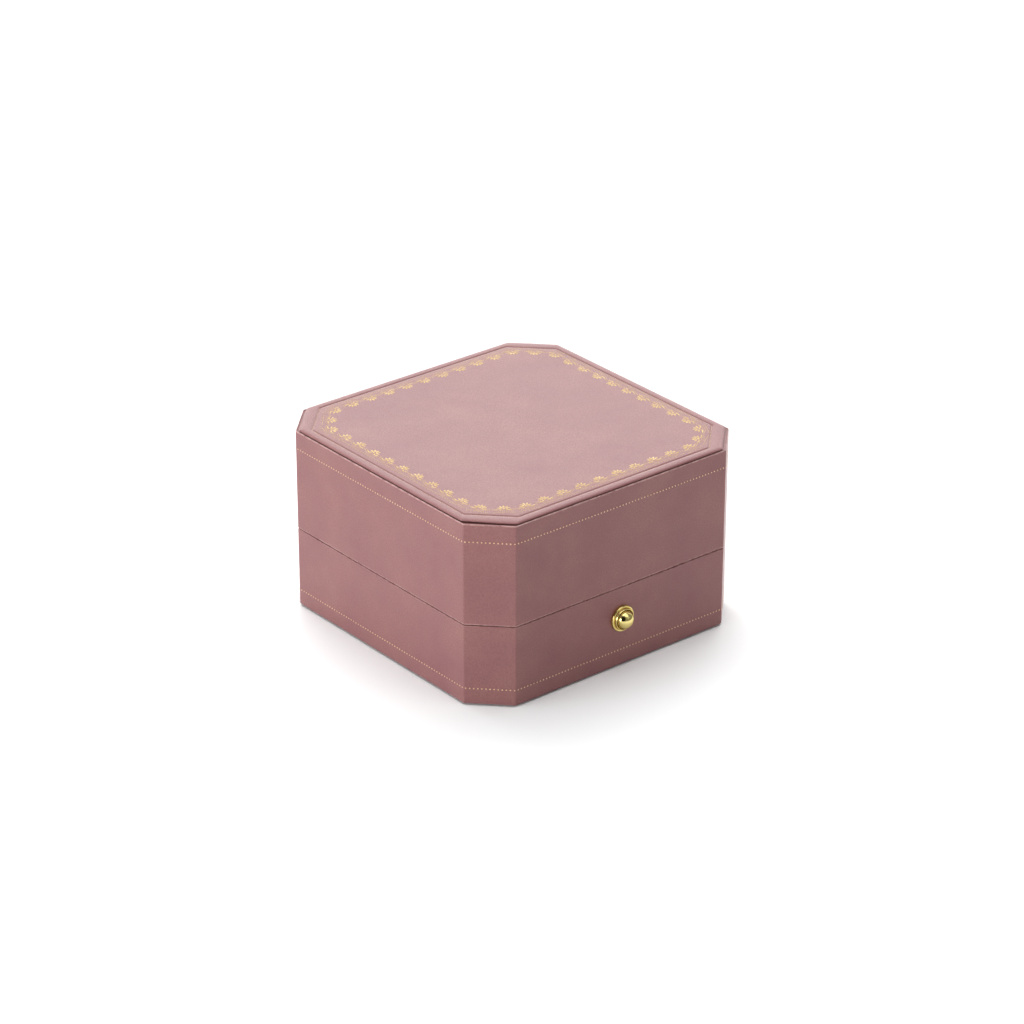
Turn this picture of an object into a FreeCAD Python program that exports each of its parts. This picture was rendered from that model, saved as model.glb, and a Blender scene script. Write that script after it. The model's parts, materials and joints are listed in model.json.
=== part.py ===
import FreeCAD, Part
import os

import Sketcher
from FreeCAD import Placement, Rotation, Vector

# Octagonal presentation box for jewellery. Millimetres, +Z up, the button faces -Y and the
# hinge is at +Y. The origin is on the underside, in the middle of the plan.
document = FreeCAD.newDocument("JewelryBox")
sheet = document.addObject("Spreadsheet::Sheet", "dims")

sizes = {
    # the whole box
    "box_width": 90,
    "box_depth": 90,
    "corner_cut": 9.5,
    "box_height": 52,
    "seam_height": 23.25,
    "seam_gap": 0.2,
    "corner_radius": 0.8,
    # walls and their covering
    "wrap_thickness": 0.6,
    "wall_thickness": 2.6,
    "floor_thickness": 2,
    "ceiling_thickness": 2.5,
    "turn_in": 8,
    "underside_thickness": 0.5,
    "underside_inset": 1.2,
    # padded top
    "top_inset": 0.4,
    "top_thickness": 0.65,
    "top_edge_radius": 0.4,
    "padding_gap": 0.2,
    # display tray in the base, with its collar that guides the lid
    "collar_rise": 2.75,
    "collar_clearance": 0.4,
    "tray_thickness": 1.2,
    "deck_drop": 0.45,
    "well_width": 62,
    "well_depth": 62,
    "well_radius": 4,
    "cushion_board": 1,
    "cushion_gap": 0.4,
    "cushion_crown": 0.8,
    "cushion_radius": 3,
    # lining of the lid
    "liner_thickness": 1,
    "liner_gap": 0.8,
    "pad_board": 1.2,
    "pad_thickness": 3.8,
    "pad_gap": 0.3,
    "pad_radius": 1.6,
    # hinge
    "opening_angle": 95,
    "stop_margin": 0.5,
    "hinge_length": 40,
    "leaf_height": 8,
    "leaf_thickness": 0.6,
    "hinge_pin_radius": 0.6,
    "running_clearance": 0.03,
    "knuckle_gap": 0.15,
    "hinge_clearance": 0.3,
    "hinge_screw_pitch": 13,
    # push button
    "button_height": 14.3,
    "button_travel": 1.2,
    "ball_radius": 2.6,
    "ball_reach": 1.1,
    "ball_back_angle": 15,
    "neck_radius": 1.3,
    "shaft_radius": 1.5,
    "shaft_clearance": 0.05,
    "tail_radius": 0.8,
    "tail_gap": 0.1,
    "groove_radius": 1.1,
    "groove_setback": 0.2,
    "groove_land": 0.6,
    "clip_radius": 2.4,
    "clip_thickness": 0.4,
    "clip_clearance": 0.05,
    "clip_mouth": 1.98,
    "ferrule_radius": 3.2,
    "flange_radius": 3.65,
    "flange_step": 0.9,
    "ring_radius": 3.25,
    "flange_thickness": 1.6,
    "cup_clearance": 0.15,
    "cup_depth": 1.2,
    # latch
    "hook_setback": 5.8,
    "hook_thickness": 0.8,
    "hook_width": 4.8,
    "hook_clearance": 0.3,
    "hook_eye_radius": 1.2,
    "nose_height": 1,
    "nose_bite": 0.2,
    "nose_gap": 0.1,
    "keeper_width": 14,
    "keeper_height": 8,
    "keeper_bar": 1.25,
    "keeper_gap": 0.05,
    "keeper_notch_clearance": 0.5,
    "keeper_screw_pitch": 9.6,
    "pivot_rise": 2.1,
    "bracket_thickness": 0.6,
    "bracket_width": 16,
    "bracket_rise": 1,
    "pin_overhang": 0.2,
    "spring_length": 3.8,
    "spring_radius": 1.5,
    "spring_wire": 0.2,
    "spring_gap": 0.1,
    "spring_turns": 4,
    # screws, all countersunk
    "screw_radius": 0.6,
    "screw_head_radius": 1.1,
    "screw_head_height": 0.5,
    "screw_length": 2.1,
    "screw_slot": 0.3,
    # how far a cut runs past the face that it opens
    "overshoot": 1,
}

# places that follow from the sizes above
places = {
    "shell_inset": "wrap_thickness",
    "inner_inset": "wrap_thickness + wall_thickness",
    "base_top": "seam_height - seam_gap / 2",
    "lid_bottom": "seam_height + seam_gap / 2",
    "shell_bottom": "underside_thickness + wrap_thickness",
    "floor_top": "shell_bottom + floor_thickness",
    "base_shell_top": "base_top - wrap_thickness",
    "lid_shell_bottom": "lid_bottom + wrap_thickness",
    "lid_shell_top": "box_height - wrap_thickness",
    "ceiling": "lid_shell_top - ceiling_thickness",
    "front_face": "-box_depth / 2",
    "front_inner": "inner_inset - box_depth / 2",
    "rear_inner": "box_depth / 2 - inner_inset",
    "barrel_radius": "hinge_pin_radius + running_clearance + leaf_thickness",
    "channel_radius": "barrel_radius + hinge_clearance",
    "hinge_place": "rear_inner + barrel_radius",
    "bevel_angle": "opening_angle / 2 + stop_margin",
    "collar_inset": "inner_inset + collar_clearance",
    "collar_top": "seam_height + collar_rise",
    "deck_top": "seam_height - deck_drop",
    "tray_floor": "floor_top + tray_thickness",
    "board_top": "tray_floor + cushion_board",
    "cushion_top": "deck_top + cushion_crown",
    "liner_bottom": "collar_top + liner_gap",
    "liner_inner": "inner_inset + liner_thickness",
    "pad_board_bottom": "ceiling - pad_board",
    "pad_bottom": "pad_board_bottom - pad_thickness",
    "hook_front": "front_face + hook_setback",
    "hook_back": "hook_front + hook_thickness",
    "pivot_height": "floor_top + pivot_rise",
    "keeper_bottom": "lid_shell_bottom + keeper_gap",
    "nose_bottom": "keeper_bottom + keeper_bar + nose_gap",
    "nose_top": "nose_bottom + nose_height",
    "nose_tip": "front_inner - leaf_thickness - nose_bite",
    "window_top": "nose_top + 2 * hook_clearance",
    "hook_swing": "button_travel * (nose_top - pivot_height) / (button_height - pivot_height)",
    "spring_seat": "hook_back + spring_length",
    "bracket_cheek": "hook_width / 2 + hook_clearance",
}

aliases = list(sizes) + list(places)


def fill_sheet():
    rows = list(sizes.items()) + [(name, "=" + text) for name, text in places.items()]
    for row, (name, value) in enumerate(rows, 1):
        sheet.set("A%d" % row, name)
        sheet.set("B%d" % row, str(value))
        sheet.setAlias("B%d" % row, name)
    document.recompute()


def dims(text):
    """The same expression with every sheet name written as dims.name."""
    words = []
    word = ""
    for letter in text + " ":
        if letter.isalnum() or letter in "_.":
            word += letter
            continue
        words.append("dims." + word if word in aliases else word)
        words.append(letter)
        word = ""
    return "".join(words).strip()


def value(text):
    """The number that an expression in sheet names has now."""
    found = sheet.evalExpression(dims(text))
    return float(getattr(found, "Value", found))


def bind(thing, prop, text):
    thing.setExpression(prop, dims(text))


def new_body(name):
    body = document.addObject("PartDesign::Body", name)
    body.Label = name
    return body


def sketch_on(body, role, height="0"):
    sketch = body.newObject("Sketcher::SketchObject", body.Name + "_sketch")
    plane = next(item for item in body.Origin.OriginFeatures if item.Role == role)
    sketch.AttachmentSupport = [(plane, "")]
    sketch.MapMode = "FlatFace"
    bind(sketch, "AttachmentOffset.Base.z", height)
    return sketch


def pin_point(sketch, geometry, point, place):
    for kind, text in zip(("DistanceX", "DistanceY"), place):
        constraint = Sketcher.Constraint(kind, -1, 1, geometry, point, value(text))
        number = sketch.addConstraint(constraint)
        bind(sketch, "Constraints[%d]" % number, text)


def draw_polygon(sketch, points):
    first = sketch.GeometryCount
    corners = [Vector(value(u), value(v), 0) for u, v in points]
    count = len(points)
    for index in range(count):
        sketch.addGeometry(Part.LineSegment(corners[index], corners[(index + 1) % count]))
    for index in range(count):
        following = first + (index + 1) % count
        sketch.addConstraint(Sketcher.Constraint("Coincident", first + index, 2, following, 1))
    for index, place in enumerate(points):
        pin_point(sketch, first + index, 1, place)
    return sketch


def draw_circle(sketch, place, radius):
    centre = Vector(value(place[0]), value(place[1]), 0)
    number = sketch.addGeometry(Part.Circle(centre, Vector(0, 0, 1), value(radius)))
    pin_point(sketch, number, 3, place)
    constraint = sketch.addConstraint(Sketcher.Constraint("Radius", number, value(radius)))
    bind(sketch, "Constraints[%d]" % constraint, radius)
    return sketch


def rectangle(low_u, high_u, low_v, high_v):
    return [(low_u, low_v), (high_u, low_v), (high_u, high_v), (low_u, high_v)]


def centred(width, low_v, high_v):
    return rectangle(f"-({width}) / 2", f"({width}) / 2", low_v, high_v)


def octagon(inset):
    """Plan outline, moved inwards by the inset, with the corner faces kept parallel."""
    x = f"(box_width / 2 - ({inset}))"
    y = f"(box_depth / 2 - ({inset}))"
    cut = f"(corner_cut - (2 - sqrt(2)) * ({inset}))"
    return [
        (f"{cut} - {x}", f"-{y}"),
        (f"{x} - {cut}", f"-{y}"),
        (x, f"{cut} - {y}"),
        (x, f"{y} - {cut}"),
        (f"{x} - {cut}", y),
        (f"{cut} - {x}", y),
        (f"-{x}", f"{y} - {cut}"),
        (f"-{x}", f"{cut} - {y}"),
    ]


def extrude(kind, body, sketch, length, symmetric=False, turned=False):
    before = body.Shape.Volume if body.Tip else 0
    feature = body.newObject(kind, body.Name + "_" + kind.split("::")[1].lower())
    feature.Profile = sketch
    bind(feature, "Length", length)
    if symmetric:
        feature.SideType = "Symmetric"
    feature.Reversed = turned
    sketch.Visibility = False
    document.recompute()
    change = feature.Shape.Volume - before
    if (change <= 0) == kind.endswith("Pad"):
        raise ValueError(f"{body.Name}: a {kind} changes the volume by {change}")
    return feature


def pad(body, sketch, length, **options):
    return extrude("PartDesign::Pad", body, sketch, length, **options)


def pocket(body, sketch, length, **options):
    return extrude("PartDesign::Pocket", body, sketch, length, **options)


def octagon_pad(body, inset, low, high):
    sketch = draw_polygon(sketch_on(body, "XY_Plane", low), octagon(inset))
    return pad(body, sketch, f"({high}) - ({low})")


def octagon_pocket(body, inset, low, high):
    sketch = draw_polygon(sketch_on(body, "XY_Plane", high), octagon(inset))
    return pocket(body, sketch, f"({high}) - ({low})")


def octagon_ring(body, outer, inner, low, high):
    sketch = draw_polygon(sketch_on(body, "XY_Plane", low), octagon(outer))
    return pad(body, draw_polygon(sketch, octagon(inner)), f"({high}) - ({low})")


def cross_pad(body, points, length):
    """Adds a section in Y and Z, drawn out along X to both sides."""
    return pad(body, draw_polygon(sketch_on(body, "YZ_Plane"), points), length, symmetric=True)


def cross_pocket(body, points, length):
    return pocket(body, draw_polygon(sketch_on(body, "YZ_Plane"), points), length, symmetric=True)


def round_edges(body, feature, chosen, radius):
    names = [f"Edge{index}" for index, edge in enumerate(feature.Shape.Edges, 1) if chosen(edge)]
    fillet = body.newObject("PartDesign::Fillet", body.Name + "_fillet")
    fillet.Base = (feature, names)
    bind(fillet, "Radius", radius)
    document.recompute()
    return fillet


def is_upright(edge):
    box = edge.BoundBox
    return box.XLength < 1e-6 and box.YLength < 1e-6 and box.ZLength > 1e-6


def is_level_at(height):
    level = value(height)
    return lambda edge: abs(edge.BoundBox.ZMin - level) < 1e-6 and abs(edge.BoundBox.ZMax - level) < 1e-6


# Turned parts and fasteners are drawn along their own Z axis, and laid down along Y or X.
laid_along_y = Rotation(Vector(1, 0, 0), -90)
laid_along_minus_y = Rotation(Vector(1, 0, 0), 90)
laid_along_x = Rotation(Vector(0, 1, 0), 90)
pointing_down = Rotation(Vector(1, 0, 0), 180)


def place(thing, rotation, x="0", y="0", z="0"):
    thing.Placement = Placement(Vector(0, 0, 0), rotation)
    bind(thing, "Placement.Base.x", x)
    bind(thing, "Placement.Base.y", y)
    bind(thing, "Placement.Base.z", z)
    return thing


def cylinder(name, radius, length):
    rod = document.addObject("Part::Cylinder", name)
    bind(rod, "Radius", radius)
    bind(rod, "Height", length)
    return rod


def raise_by(thing, height):
    bind(thing, "Placement.Base.z", height)
    return thing


def fuse(name, pieces):
    union = document.addObject("Part::MultiFuse", name)
    union.Shapes = pieces
    return union


def cut(name, base, tool):
    result = document.addObject("Part::Cut", name)
    result.Label = name
    result.Base = base
    result.Tool = tool
    return result


def screw_set(name, rotation, spots):
    """Countersunk slotted screws, heads at the given places. Returns them and their holes."""
    screws = []
    holes = []
    for spot in spots:
        slot = document.addObject("Part::Box", name + "_slot")
        bind(slot, "Length", "3 * screw_head_radius")
        bind(slot, "Width", "screw_slot")
        bind(slot, "Height", "screw_slot")
        bind(slot, "Placement.Base.x", "-1.5 * screw_head_radius")
        bind(slot, "Placement.Base.y", "-screw_slot / 2")
        screws.append(place(cut(name + "_screw", screw_blank(name), slot), rotation, *spot))
        holes.append(place(screw_blank(name), rotation, *spot))
    group = document.addObject("Part::Compound", name)
    group.Label = name
    group.Links = screws
    tool = document.addObject("Part::Compound", name + "_holes")
    tool.Links = holes
    return group, tool


def screw_blank(name):
    head = document.addObject("Part::Cone", name + "_head")
    bind(head, "Radius1", "screw_head_radius")
    bind(head, "Radius2", "screw_radius")
    bind(head, "Height", "screw_head_height")
    shank = cylinder(name + "_shank", "screw_radius", "screw_length")
    return fuse(name + "_blank", [head, shank])


# What both halves of the box share. The sign is -1 for the base and 1 for the lid, which is
# its mirror image about the seam at the hinge.
def bevel_at(y, sign, inset):
    """Height of the rear edge's bevel at y, for a surface inset below the outer one."""
    return f"seam_height + {sign} * (({y} - hinge_place) * tan(bevel_angle) + {inset} / cos(bevel_angle))"


def bevel_start(sign, height, inset):
    """Where the bevel leaves the level rim at the given height."""
    drop = f"({sign} * ({height} - seam_height) - {inset} / cos(bevel_angle))"
    return f"hinge_place + {drop} / tan(bevel_angle)"


def cut_bevel(body, sign, rim, inset):
    start = bevel_start(sign, rim, inset)
    outside = "box_depth / 2 + overshoot"
    beyond = f"{rim} - {sign} * overshoot"
    points = [
        (start, rim),
        (outside, bevel_at(f"({outside})", sign, inset)),
        (outside, beyond),
        (start, beyond),
    ]
    return cross_pocket(body, points, "box_width")


def cut_hinge_room(body, sign):
    """The leaf is let into the wall's inner face, and the barrel turns in a round channel."""
    leaf_back = "rear_inner + leaf_thickness"
    low = "seam_height"
    high = f"seam_height + {sign} * (channel_radius + leaf_height)"
    if sign < 0:
        low, high = high, low
    recess = rectangle("rear_inner - overshoot", leaf_back, low, high)
    cross_pocket(body, recess, "hinge_length")
    sketch = draw_circle(sketch_on(body, "YZ_Plane"), ("hinge_place", "seam_height"), "channel_radius")
    pocket(body, sketch, "hinge_length + 2 * hinge_clearance", symmetric=True)


def hinge_screw_spots(sign):
    height = f"seam_height + {sign} * (channel_radius + leaf_height / 2)"
    return [(f"{step} * hinge_screw_pitch", "rear_inner", height) for step in (-1, 0, 1)]


def wrap_half(name, sign, low, high, rim, turned_edge, turned_to):
    """Covering of the walls, folded over the rim, the outer edge and the rear bevel."""
    body = new_body(name)
    skin = octagon_ring(body, "0", "wrap_thickness", low, high)
    outer = value("corner_cut")
    half = value("box_width") / 2
    deep = value("box_depth") / 2

    def is_outer_corner(edge):
        box = edge.BoundBox
        x, y = abs(box.XMin), abs(box.YMin)
        on_side = abs(x - half) < 1e-6 and abs(y - deep + outer) < 1e-6
        on_end = abs(y - deep) < 1e-6 and abs(x - half + outer) < 1e-6
        return is_upright(edge) and (on_side or on_end)

    round_edges(body, skin, is_outer_corner, "corner_radius")
    folded = f"{rim} + {sign} * wrap_thickness"
    rim_low, rim_high = (folded, rim) if sign < 0 else (rim, folded)
    octagon_ring(body, "wrap_thickness", "inner_inset", rim_low, rim_high)
    octagon_ring(body, "wrap_thickness", "wrap_thickness + turn_in", turned_edge, turned_to)
    cut_bevel(body, sign, rim, "0")
    shell_rim = f"({rim} + {sign} * wrap_thickness)"
    face = "box_depth / 2"
    facing = [
        (bevel_start(sign, rim, "0"), rim),
        (face, bevel_at(face, sign, "0")),
        (face, bevel_at(face, sign, "wrap_thickness")),
        (bevel_start(sign, shell_rim, "wrap_thickness"), shell_rim),
    ]
    cross_pad(body, facing, "box_width - 2 * corner_cut")
    cut_hinge_room(body, sign)
    return body


def front_hole(body, radius, depth):
    """A round hole from the front, on the button's axis."""
    plane = sketch_on(body, "XZ_Plane", "overshoot - front_face")
    return pocket(body, draw_circle(plane, ("0", "button_height"), radius), f"{depth} + overshoot")


# Base
def base_shell(screw_holes):
    body = new_body("base_shell_blank")
    octagon_pad(body, "shell_inset", "shell_bottom", "base_shell_top")
    octagon_pocket(body, "inner_inset", "floor_top", "base_shell_top")
    cut_bevel(body, -1, "base_shell_top", "wrap_thickness")
    cut_hinge_room(body, -1)
    front_hole(body, "ferrule_radius", "inner_inset")
    return cut("base_shell", body, screw_holes)


def base_wrap():
    body = wrap_half("base_wrap", -1, "underside_thickness", "base_top", "base_top",
                     "underside_thickness", "shell_bottom")
    front_hole(body, "ferrule_radius", "inner_inset")
    return body


def base_underside_panel():
    body = new_body("base_underside_panel")
    octagon_pad(body, "underside_inset", "0", "underside_thickness")
    return body


def display_tray():
    """Flocked tray: a collar inside the rim, a level deck and a well for the cushions."""
    body = new_body("display_tray")
    octagon_pad(body, "collar_inset", "deck_top - tray_thickness", "collar_top")
    octagon_pocket(body, "collar_inset + tray_thickness", "deck_top", "collar_top")
    outer_low, outer_high = "-well_depth / 2 - tray_thickness", "well_depth / 2 + tray_thickness"
    outer = centred("well_width + 2 * tray_thickness", outer_low, outer_high)
    block = draw_polygon(sketch_on(body, "XY_Plane", "floor_top"), outer)
    pad(body, block, "deck_top - floor_top")
    inside = centred("well_width", "-well_depth / 2", "well_depth / 2")
    hollow = draw_polygon(sketch_on(body, "XY_Plane", "deck_top"), inside)
    well = pocket(body, hollow, "deck_top - tray_floor")
    corner_x = value("well_width") / 2
    corner_y = value("well_depth") / 2

    def is_well_corner(edge):
        box = edge.BoundBox
        away = abs(abs(box.XMin) - corner_x) + abs(abs(box.YMin) - corner_y)
        return is_upright(edge) and away < 1e-6

    round_edges(body, well, is_well_corner, "well_radius")
    slot_rear = "hook_back + hook_swing + hook_clearance"
    slot = centred("2 * bracket_cheek", "front_face", slot_rear)
    opening = draw_polygon(sketch_on(body, "XY_Plane", "collar_top"), slot)
    pocket(body, opening, "collar_rise + 2 * tray_thickness")
    return body


def cushion_board():
    body = new_body("cushion_board")
    reach = "well_depth / 2 - cushion_gap / 2"
    outline = centred("well_width - cushion_gap", f"-({reach})", reach)
    board = pad(body, draw_polygon(sketch_on(body, "XY_Plane", "tray_floor"), outline), "cushion_board")
    round_edges(body, board, is_upright, "well_radius")
    return body


def ring_cushion(name, near, far):
    """One of the two velvet rolls; rings stand in the slit between them."""
    body = new_body(name)
    outline = centred("well_width - 2 * cushion_gap", near, far)
    sketch = draw_polygon(sketch_on(body, "XY_Plane", "board_top"), outline)
    block = pad(body, sketch, "cushion_top - board_top")
    side = value("well_depth / 2 - cushion_gap")

    def is_in_well_corner(edge):
        return is_upright(edge) and abs(abs(edge.BoundBox.YMin) - side) < 1e-6

    rounded = round_edges(body, block, is_in_well_corner, "well_radius")
    round_edges(body, rounded, is_level_at("cushion_top"), "cushion_radius")
    return body


# Button
def laid_at_button(thing):
    return place(thing, laid_along_y, "0", "front_face", "button_height")


def button_ferrule():
    """Stepped flange on the front face, with a cup that the ball sinks into."""
    body = new_body("button_ferrule")
    cup = "ball_radius + cup_clearance"
    bore = "shaft_radius + shaft_clearance"
    profile = [
        (cup, "-flange_thickness"), ("ring_radius", "-flange_thickness"),
        ("ring_radius", "-flange_step"), ("flange_radius", "-flange_step"),
        ("flange_radius", "0"), ("ferrule_radius", "0"),
        ("ferrule_radius", "inner_inset"), (bore, "inner_inset"),
        (bore, "cup_depth"), (cup, "cup_depth"),
    ]
    sketch = draw_polygon(sketch_on(body, "XZ_Plane"), profile)
    turning = body.newObject("PartDesign::Revolution", "ferrule_turning")
    turning.Profile = sketch
    turning.ReferenceAxis = (sketch, ["V_Axis"])
    turning.Angle = 360
    return laid_at_button(body)


def push_button():
    """Domed head cut flat behind, neck, guided shaft with a groove for its clip, and a rounded tail."""
    ball = document.addObject("Part::Sphere", "button_ball")
    bind(ball, "Radius", "ball_radius")
    bind(ball, "Angle2", "ball_back_angle")
    raise_by(ball, "-ball_reach")
    groove = "inner_inset + groove_setback"
    groove_end = f"{groove} + clip_thickness + 2 * clip_clearance"
    neck = raise_by(cylinder("button_neck", "neck_radius", "ball_reach"), "-ball_reach")
    shaft = cylinder("button_shaft", "shaft_radius", groove)
    waist = cylinder("button_waist", "groove_radius", groove_end)
    land = raise_by(cylinder("button_land", "shaft_radius", "groove_land"), groove_end)
    tail_length = "hook_setback - tail_gap - tail_radius"
    tail = cylinder("button_tail", "tail_radius", tail_length)
    tip = document.addObject("Part::Sphere", "button_tip")
    bind(tip, "Radius", "tail_radius")
    raise_by(tip, tail_length)
    button = fuse("push_button", [ball, neck, shaft, waist, land, tail, tip])
    button.Label = "push_button"
    return laid_at_button(button)


def button_clip():
    """Open ring that snaps into the groove and keeps the button in."""
    body = new_body("button_clip")
    start = "inner_inset + groove_setback + clip_clearance"
    disc = draw_circle(sketch_on(body, "XY_Plane", start), ("0", "0"), "clip_radius")
    pad(body, draw_circle(disc, ("0", "0"), "groove_radius"), "clip_thickness")
    mouth = centred("clip_mouth", "0", "clip_radius + overshoot")
    opening = draw_polygon(sketch_on(body, "XY_Plane", start), mouth)
    pocket(body, opening, "clip_thickness", turned=True)
    return laid_at_button(body)


# Latch
def latch_hook():
    """Lever on a pin; its nose holds the keeper's bar down until the button tips it back."""
    body = new_body("latch_hook")
    points = [
        ("hook_front", "pivot_height"), ("hook_back", "pivot_height"), ("hook_back", "nose_top"),
        ("hook_front", "nose_top"), ("nose_tip", "nose_bottom + nose_height / 3"),
        ("nose_tip", "nose_bottom"), ("hook_front", "nose_bottom"),
    ]
    cross_pad(body, points, "hook_width")
    middle = ("(hook_front + hook_back) / 2", "pivot_height")
    eye = draw_circle(sketch_on(body, "YZ_Plane"), middle, "hook_eye_radius")
    pad(body, eye, "hook_width", symmetric=True)
    bore = draw_circle(sketch_on(body, "YZ_Plane"), middle, "hinge_pin_radius + running_clearance")
    pocket(body, bore, "2 * hook_width", symmetric=True)
    return body


def latch_pin():
    half = "(bracket_cheek + bracket_thickness + pin_overhang)"
    pin = cylinder("latch_pin", "hinge_pin_radius", f"2 * {half}")
    pin.Label = "latch_pin"
    return place(pin, laid_along_x, f"-{half}", "(hook_front + hook_back) / 2", "pivot_height")


def bracket_screw_spots():
    side = "(bracket_cheek + bracket_thickness + bracket_width / 2) / 2"
    top = "floor_top + bracket_thickness"
    return [(f"{sign} * {side}", "(hook_front + spring_seat) / 2", top) for sign in (-1, 1)]


def latch_bracket(screw_holes):
    """Pressed bracket: a foot on the floor, two cheeks for the pin, a back for the spring."""
    body = new_body("latch_bracket_blank")
    back = "spring_seat + bracket_thickness"
    foot = centred("bracket_width", "front_inner + hook_clearance", back)
    pad(body, draw_polygon(sketch_on(body, "XY_Plane", "floor_top"), foot), "bracket_thickness")
    cheek_top = "pivot_height + hook_eye_radius + bracket_thickness"
    inner = "bracket_cheek"
    outer = "(bracket_cheek + bracket_thickness)"
    for low, high in ((f"-{outer}", f"-{inner}"), (inner, outer)):
        cheek = rectangle(low, high, "hook_front - 2 * bracket_thickness", back)
        sketch = draw_polygon(sketch_on(body, "XY_Plane", "floor_top"), cheek)
        pad(body, sketch, f"{cheek_top} - floor_top")
    rear_top = "button_height + spring_radius + bracket_rise"
    rear = rectangle("spring_seat", back, "floor_top", rear_top)
    cross_pad(body, rear, f"2 * {outer}")
    middle = ("(hook_front + hook_back) / 2", "pivot_height")
    eye = draw_circle(sketch_on(body, "YZ_Plane"), middle, "hinge_pin_radius")
    pocket(body, eye, "bracket_width", symmetric=True)
    return cut("latch_bracket", body, screw_holes)


def latch_spring():
    """Compression spring that holds the hook and the button forward."""
    helix = document.addObject("Part::Helix", "spring_path")
    length = "spring_length - 2 * spring_wire - 2 * spring_gap"
    bind(helix, "Height", length)
    bind(helix, "Pitch", f"({length}) / spring_turns")
    bind(helix, "Radius", "spring_radius")
    section = document.addObject("Part::Circle", "spring_section")
    bind(section, "Radius", "spring_wire")
    section.Placement = Placement(Vector(0, 0, 0), laid_along_minus_y)
    bind(section, "Placement.Base.x", "spring_radius")
    spring = document.addObject("Part::Sweep", "latch_spring")
    spring.Label = "latch_spring"
    spring.Sections = [section]
    spring.Spine = (helix, [])
    spring.Solid = True
    spring.Frenet = True
    return place(spring, laid_along_y, "0", "hook_back + spring_wire + spring_gap", "button_height")


# Hinge
def hinge_leaf(name, sign, knuckles, screw_holes):
    body = new_body(name + "_blank")
    low = f"seam_height + {sign} * channel_radius"
    high = f"seam_height + {sign} * (channel_radius + leaf_height)"
    if sign < 0:
        low, high = high, low
    cross_pad(body, rectangle("rear_inner", "rear_inner + leaf_thickness", low, high), "hinge_length")
    length = "((hinge_length - 4 * knuckle_gap) / 5)"
    arm_low, arm_high = (high, "seam_height") if sign < 0 else ("seam_height", low)
    arm = rectangle("rear_inner", "rear_inner + leaf_thickness", arm_low, arm_high)
    for number in knuckles:
        start = f"{number} * ({length} + knuckle_gap) - hinge_length / 2"
        axis = ("hinge_place", "seam_height")
        pad(body, draw_polygon(sketch_on(body, "YZ_Plane", start), arm), length)
        pad(body, draw_circle(sketch_on(body, "YZ_Plane", start), axis, "barrel_radius"), length)
    bore = draw_circle(sketch_on(body, "YZ_Plane"), axis, "hinge_pin_radius + running_clearance")
    pocket(body, bore, "2 * hinge_length", symmetric=True)
    return cut(name, body, screw_holes)


def hinge_pin():
    pin = cylinder("hinge_pin", "hinge_pin_radius", "hinge_length")
    pin.Label = "hinge_pin"
    return place(pin, laid_along_x, "-hinge_length / 2", "hinge_place", "seam_height")


# Lid
def keeper_screw_spots():
    height = "(window_top + keeper_bottom + keeper_height) / 2"
    return [(f"{sign} * keeper_screw_pitch / 2", "front_inner", height) for sign in (-1, 1)]


def window(body, front, rear):
    """Opening that the latch's nose enters."""
    opening = rectangle(front, rear, "nose_bottom - nose_gap", "window_top")
    return cross_pocket(body, opening, "hook_width + 2 * hook_clearance")


def lid_shell(screw_holes):
    body = new_body("lid_shell_blank")
    octagon_pad(body, "shell_inset", "lid_shell_bottom", "lid_shell_top")
    octagon_pocket(body, "inner_inset", "lid_shell_bottom", "ceiling")
    cut_bevel(body, 1, "lid_shell_bottom", "wrap_thickness")
    cut_hinge_room(body, 1)
    recess = rectangle("front_inner - leaf_thickness", "front_inner + overshoot",
                       "keeper_bottom", "keeper_bottom + keeper_height")
    cross_pocket(body, recess, "keeper_width")
    window(body, "nose_tip - hook_clearance", "front_inner")
    return cut("lid_shell", body, screw_holes)


def lid_wrap():
    return wrap_half("lid_wrap", 1, "lid_bottom", "box_height", "lid_bottom",
                     "lid_shell_top", "box_height")


def top_padding():
    body = new_body("top_padding")
    octagon_pad(body, "wrap_thickness + turn_in + padding_gap", "lid_shell_top", "box_height")
    return body


def top_panel():
    """Thin padded board that covers the top and the turned-in edges."""
    body = new_body("top_panel")
    panel = octagon_pad(body, "top_inset", "box_height", "box_height + top_thickness")
    round_edges(body, panel, is_level_at("box_height + top_thickness"), "top_edge_radius")
    return body


def lid_liner():
    body = new_body("lid_liner")
    octagon_ring(body, "inner_inset", "liner_inner", "liner_bottom", "ceiling")
    notch = rectangle("front_inner - overshoot", "front_inner + 2 * liner_thickness",
                      "liner_bottom", "keeper_bottom + keeper_height + keeper_notch_clearance")
    cross_pocket(body, notch, "keeper_width + 2 * keeper_notch_clearance")
    return body


def lid_pad_board():
    body = new_body("lid_pad_board")
    octagon_pad(body, "liner_inner + pad_gap / 2", "pad_board_bottom", "ceiling")
    return body


def lid_satin_pad():
    body = new_body("lid_satin_pad")
    block = octagon_pad(body, "liner_inner + pad_gap", "pad_bottom", "pad_board_bottom")
    round_edges(body, block, is_level_at("pad_bottom"), "pad_radius")
    return body


def keeper_plate(screw_holes):
    """Brass plate let into the lid's front wall; the hook's nose sits over its lower bar."""
    body = new_body("keeper_plate_blank")
    plate = rectangle("front_inner - leaf_thickness", "front_inner",
                      "keeper_bottom", "keeper_bottom + keeper_height")
    cross_pad(body, plate, "keeper_width")
    window(body, "front_inner - 2 * leaf_thickness", "front_inner + overshoot")
    return cut("keeper_plate", body, screw_holes)


def check_document():
    for item in document.Objects:
        if "Invalid" in item.State or "Error" in item.State:
            raise ValueError(f"{item.Label} can't be built: {item.State}")


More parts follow.
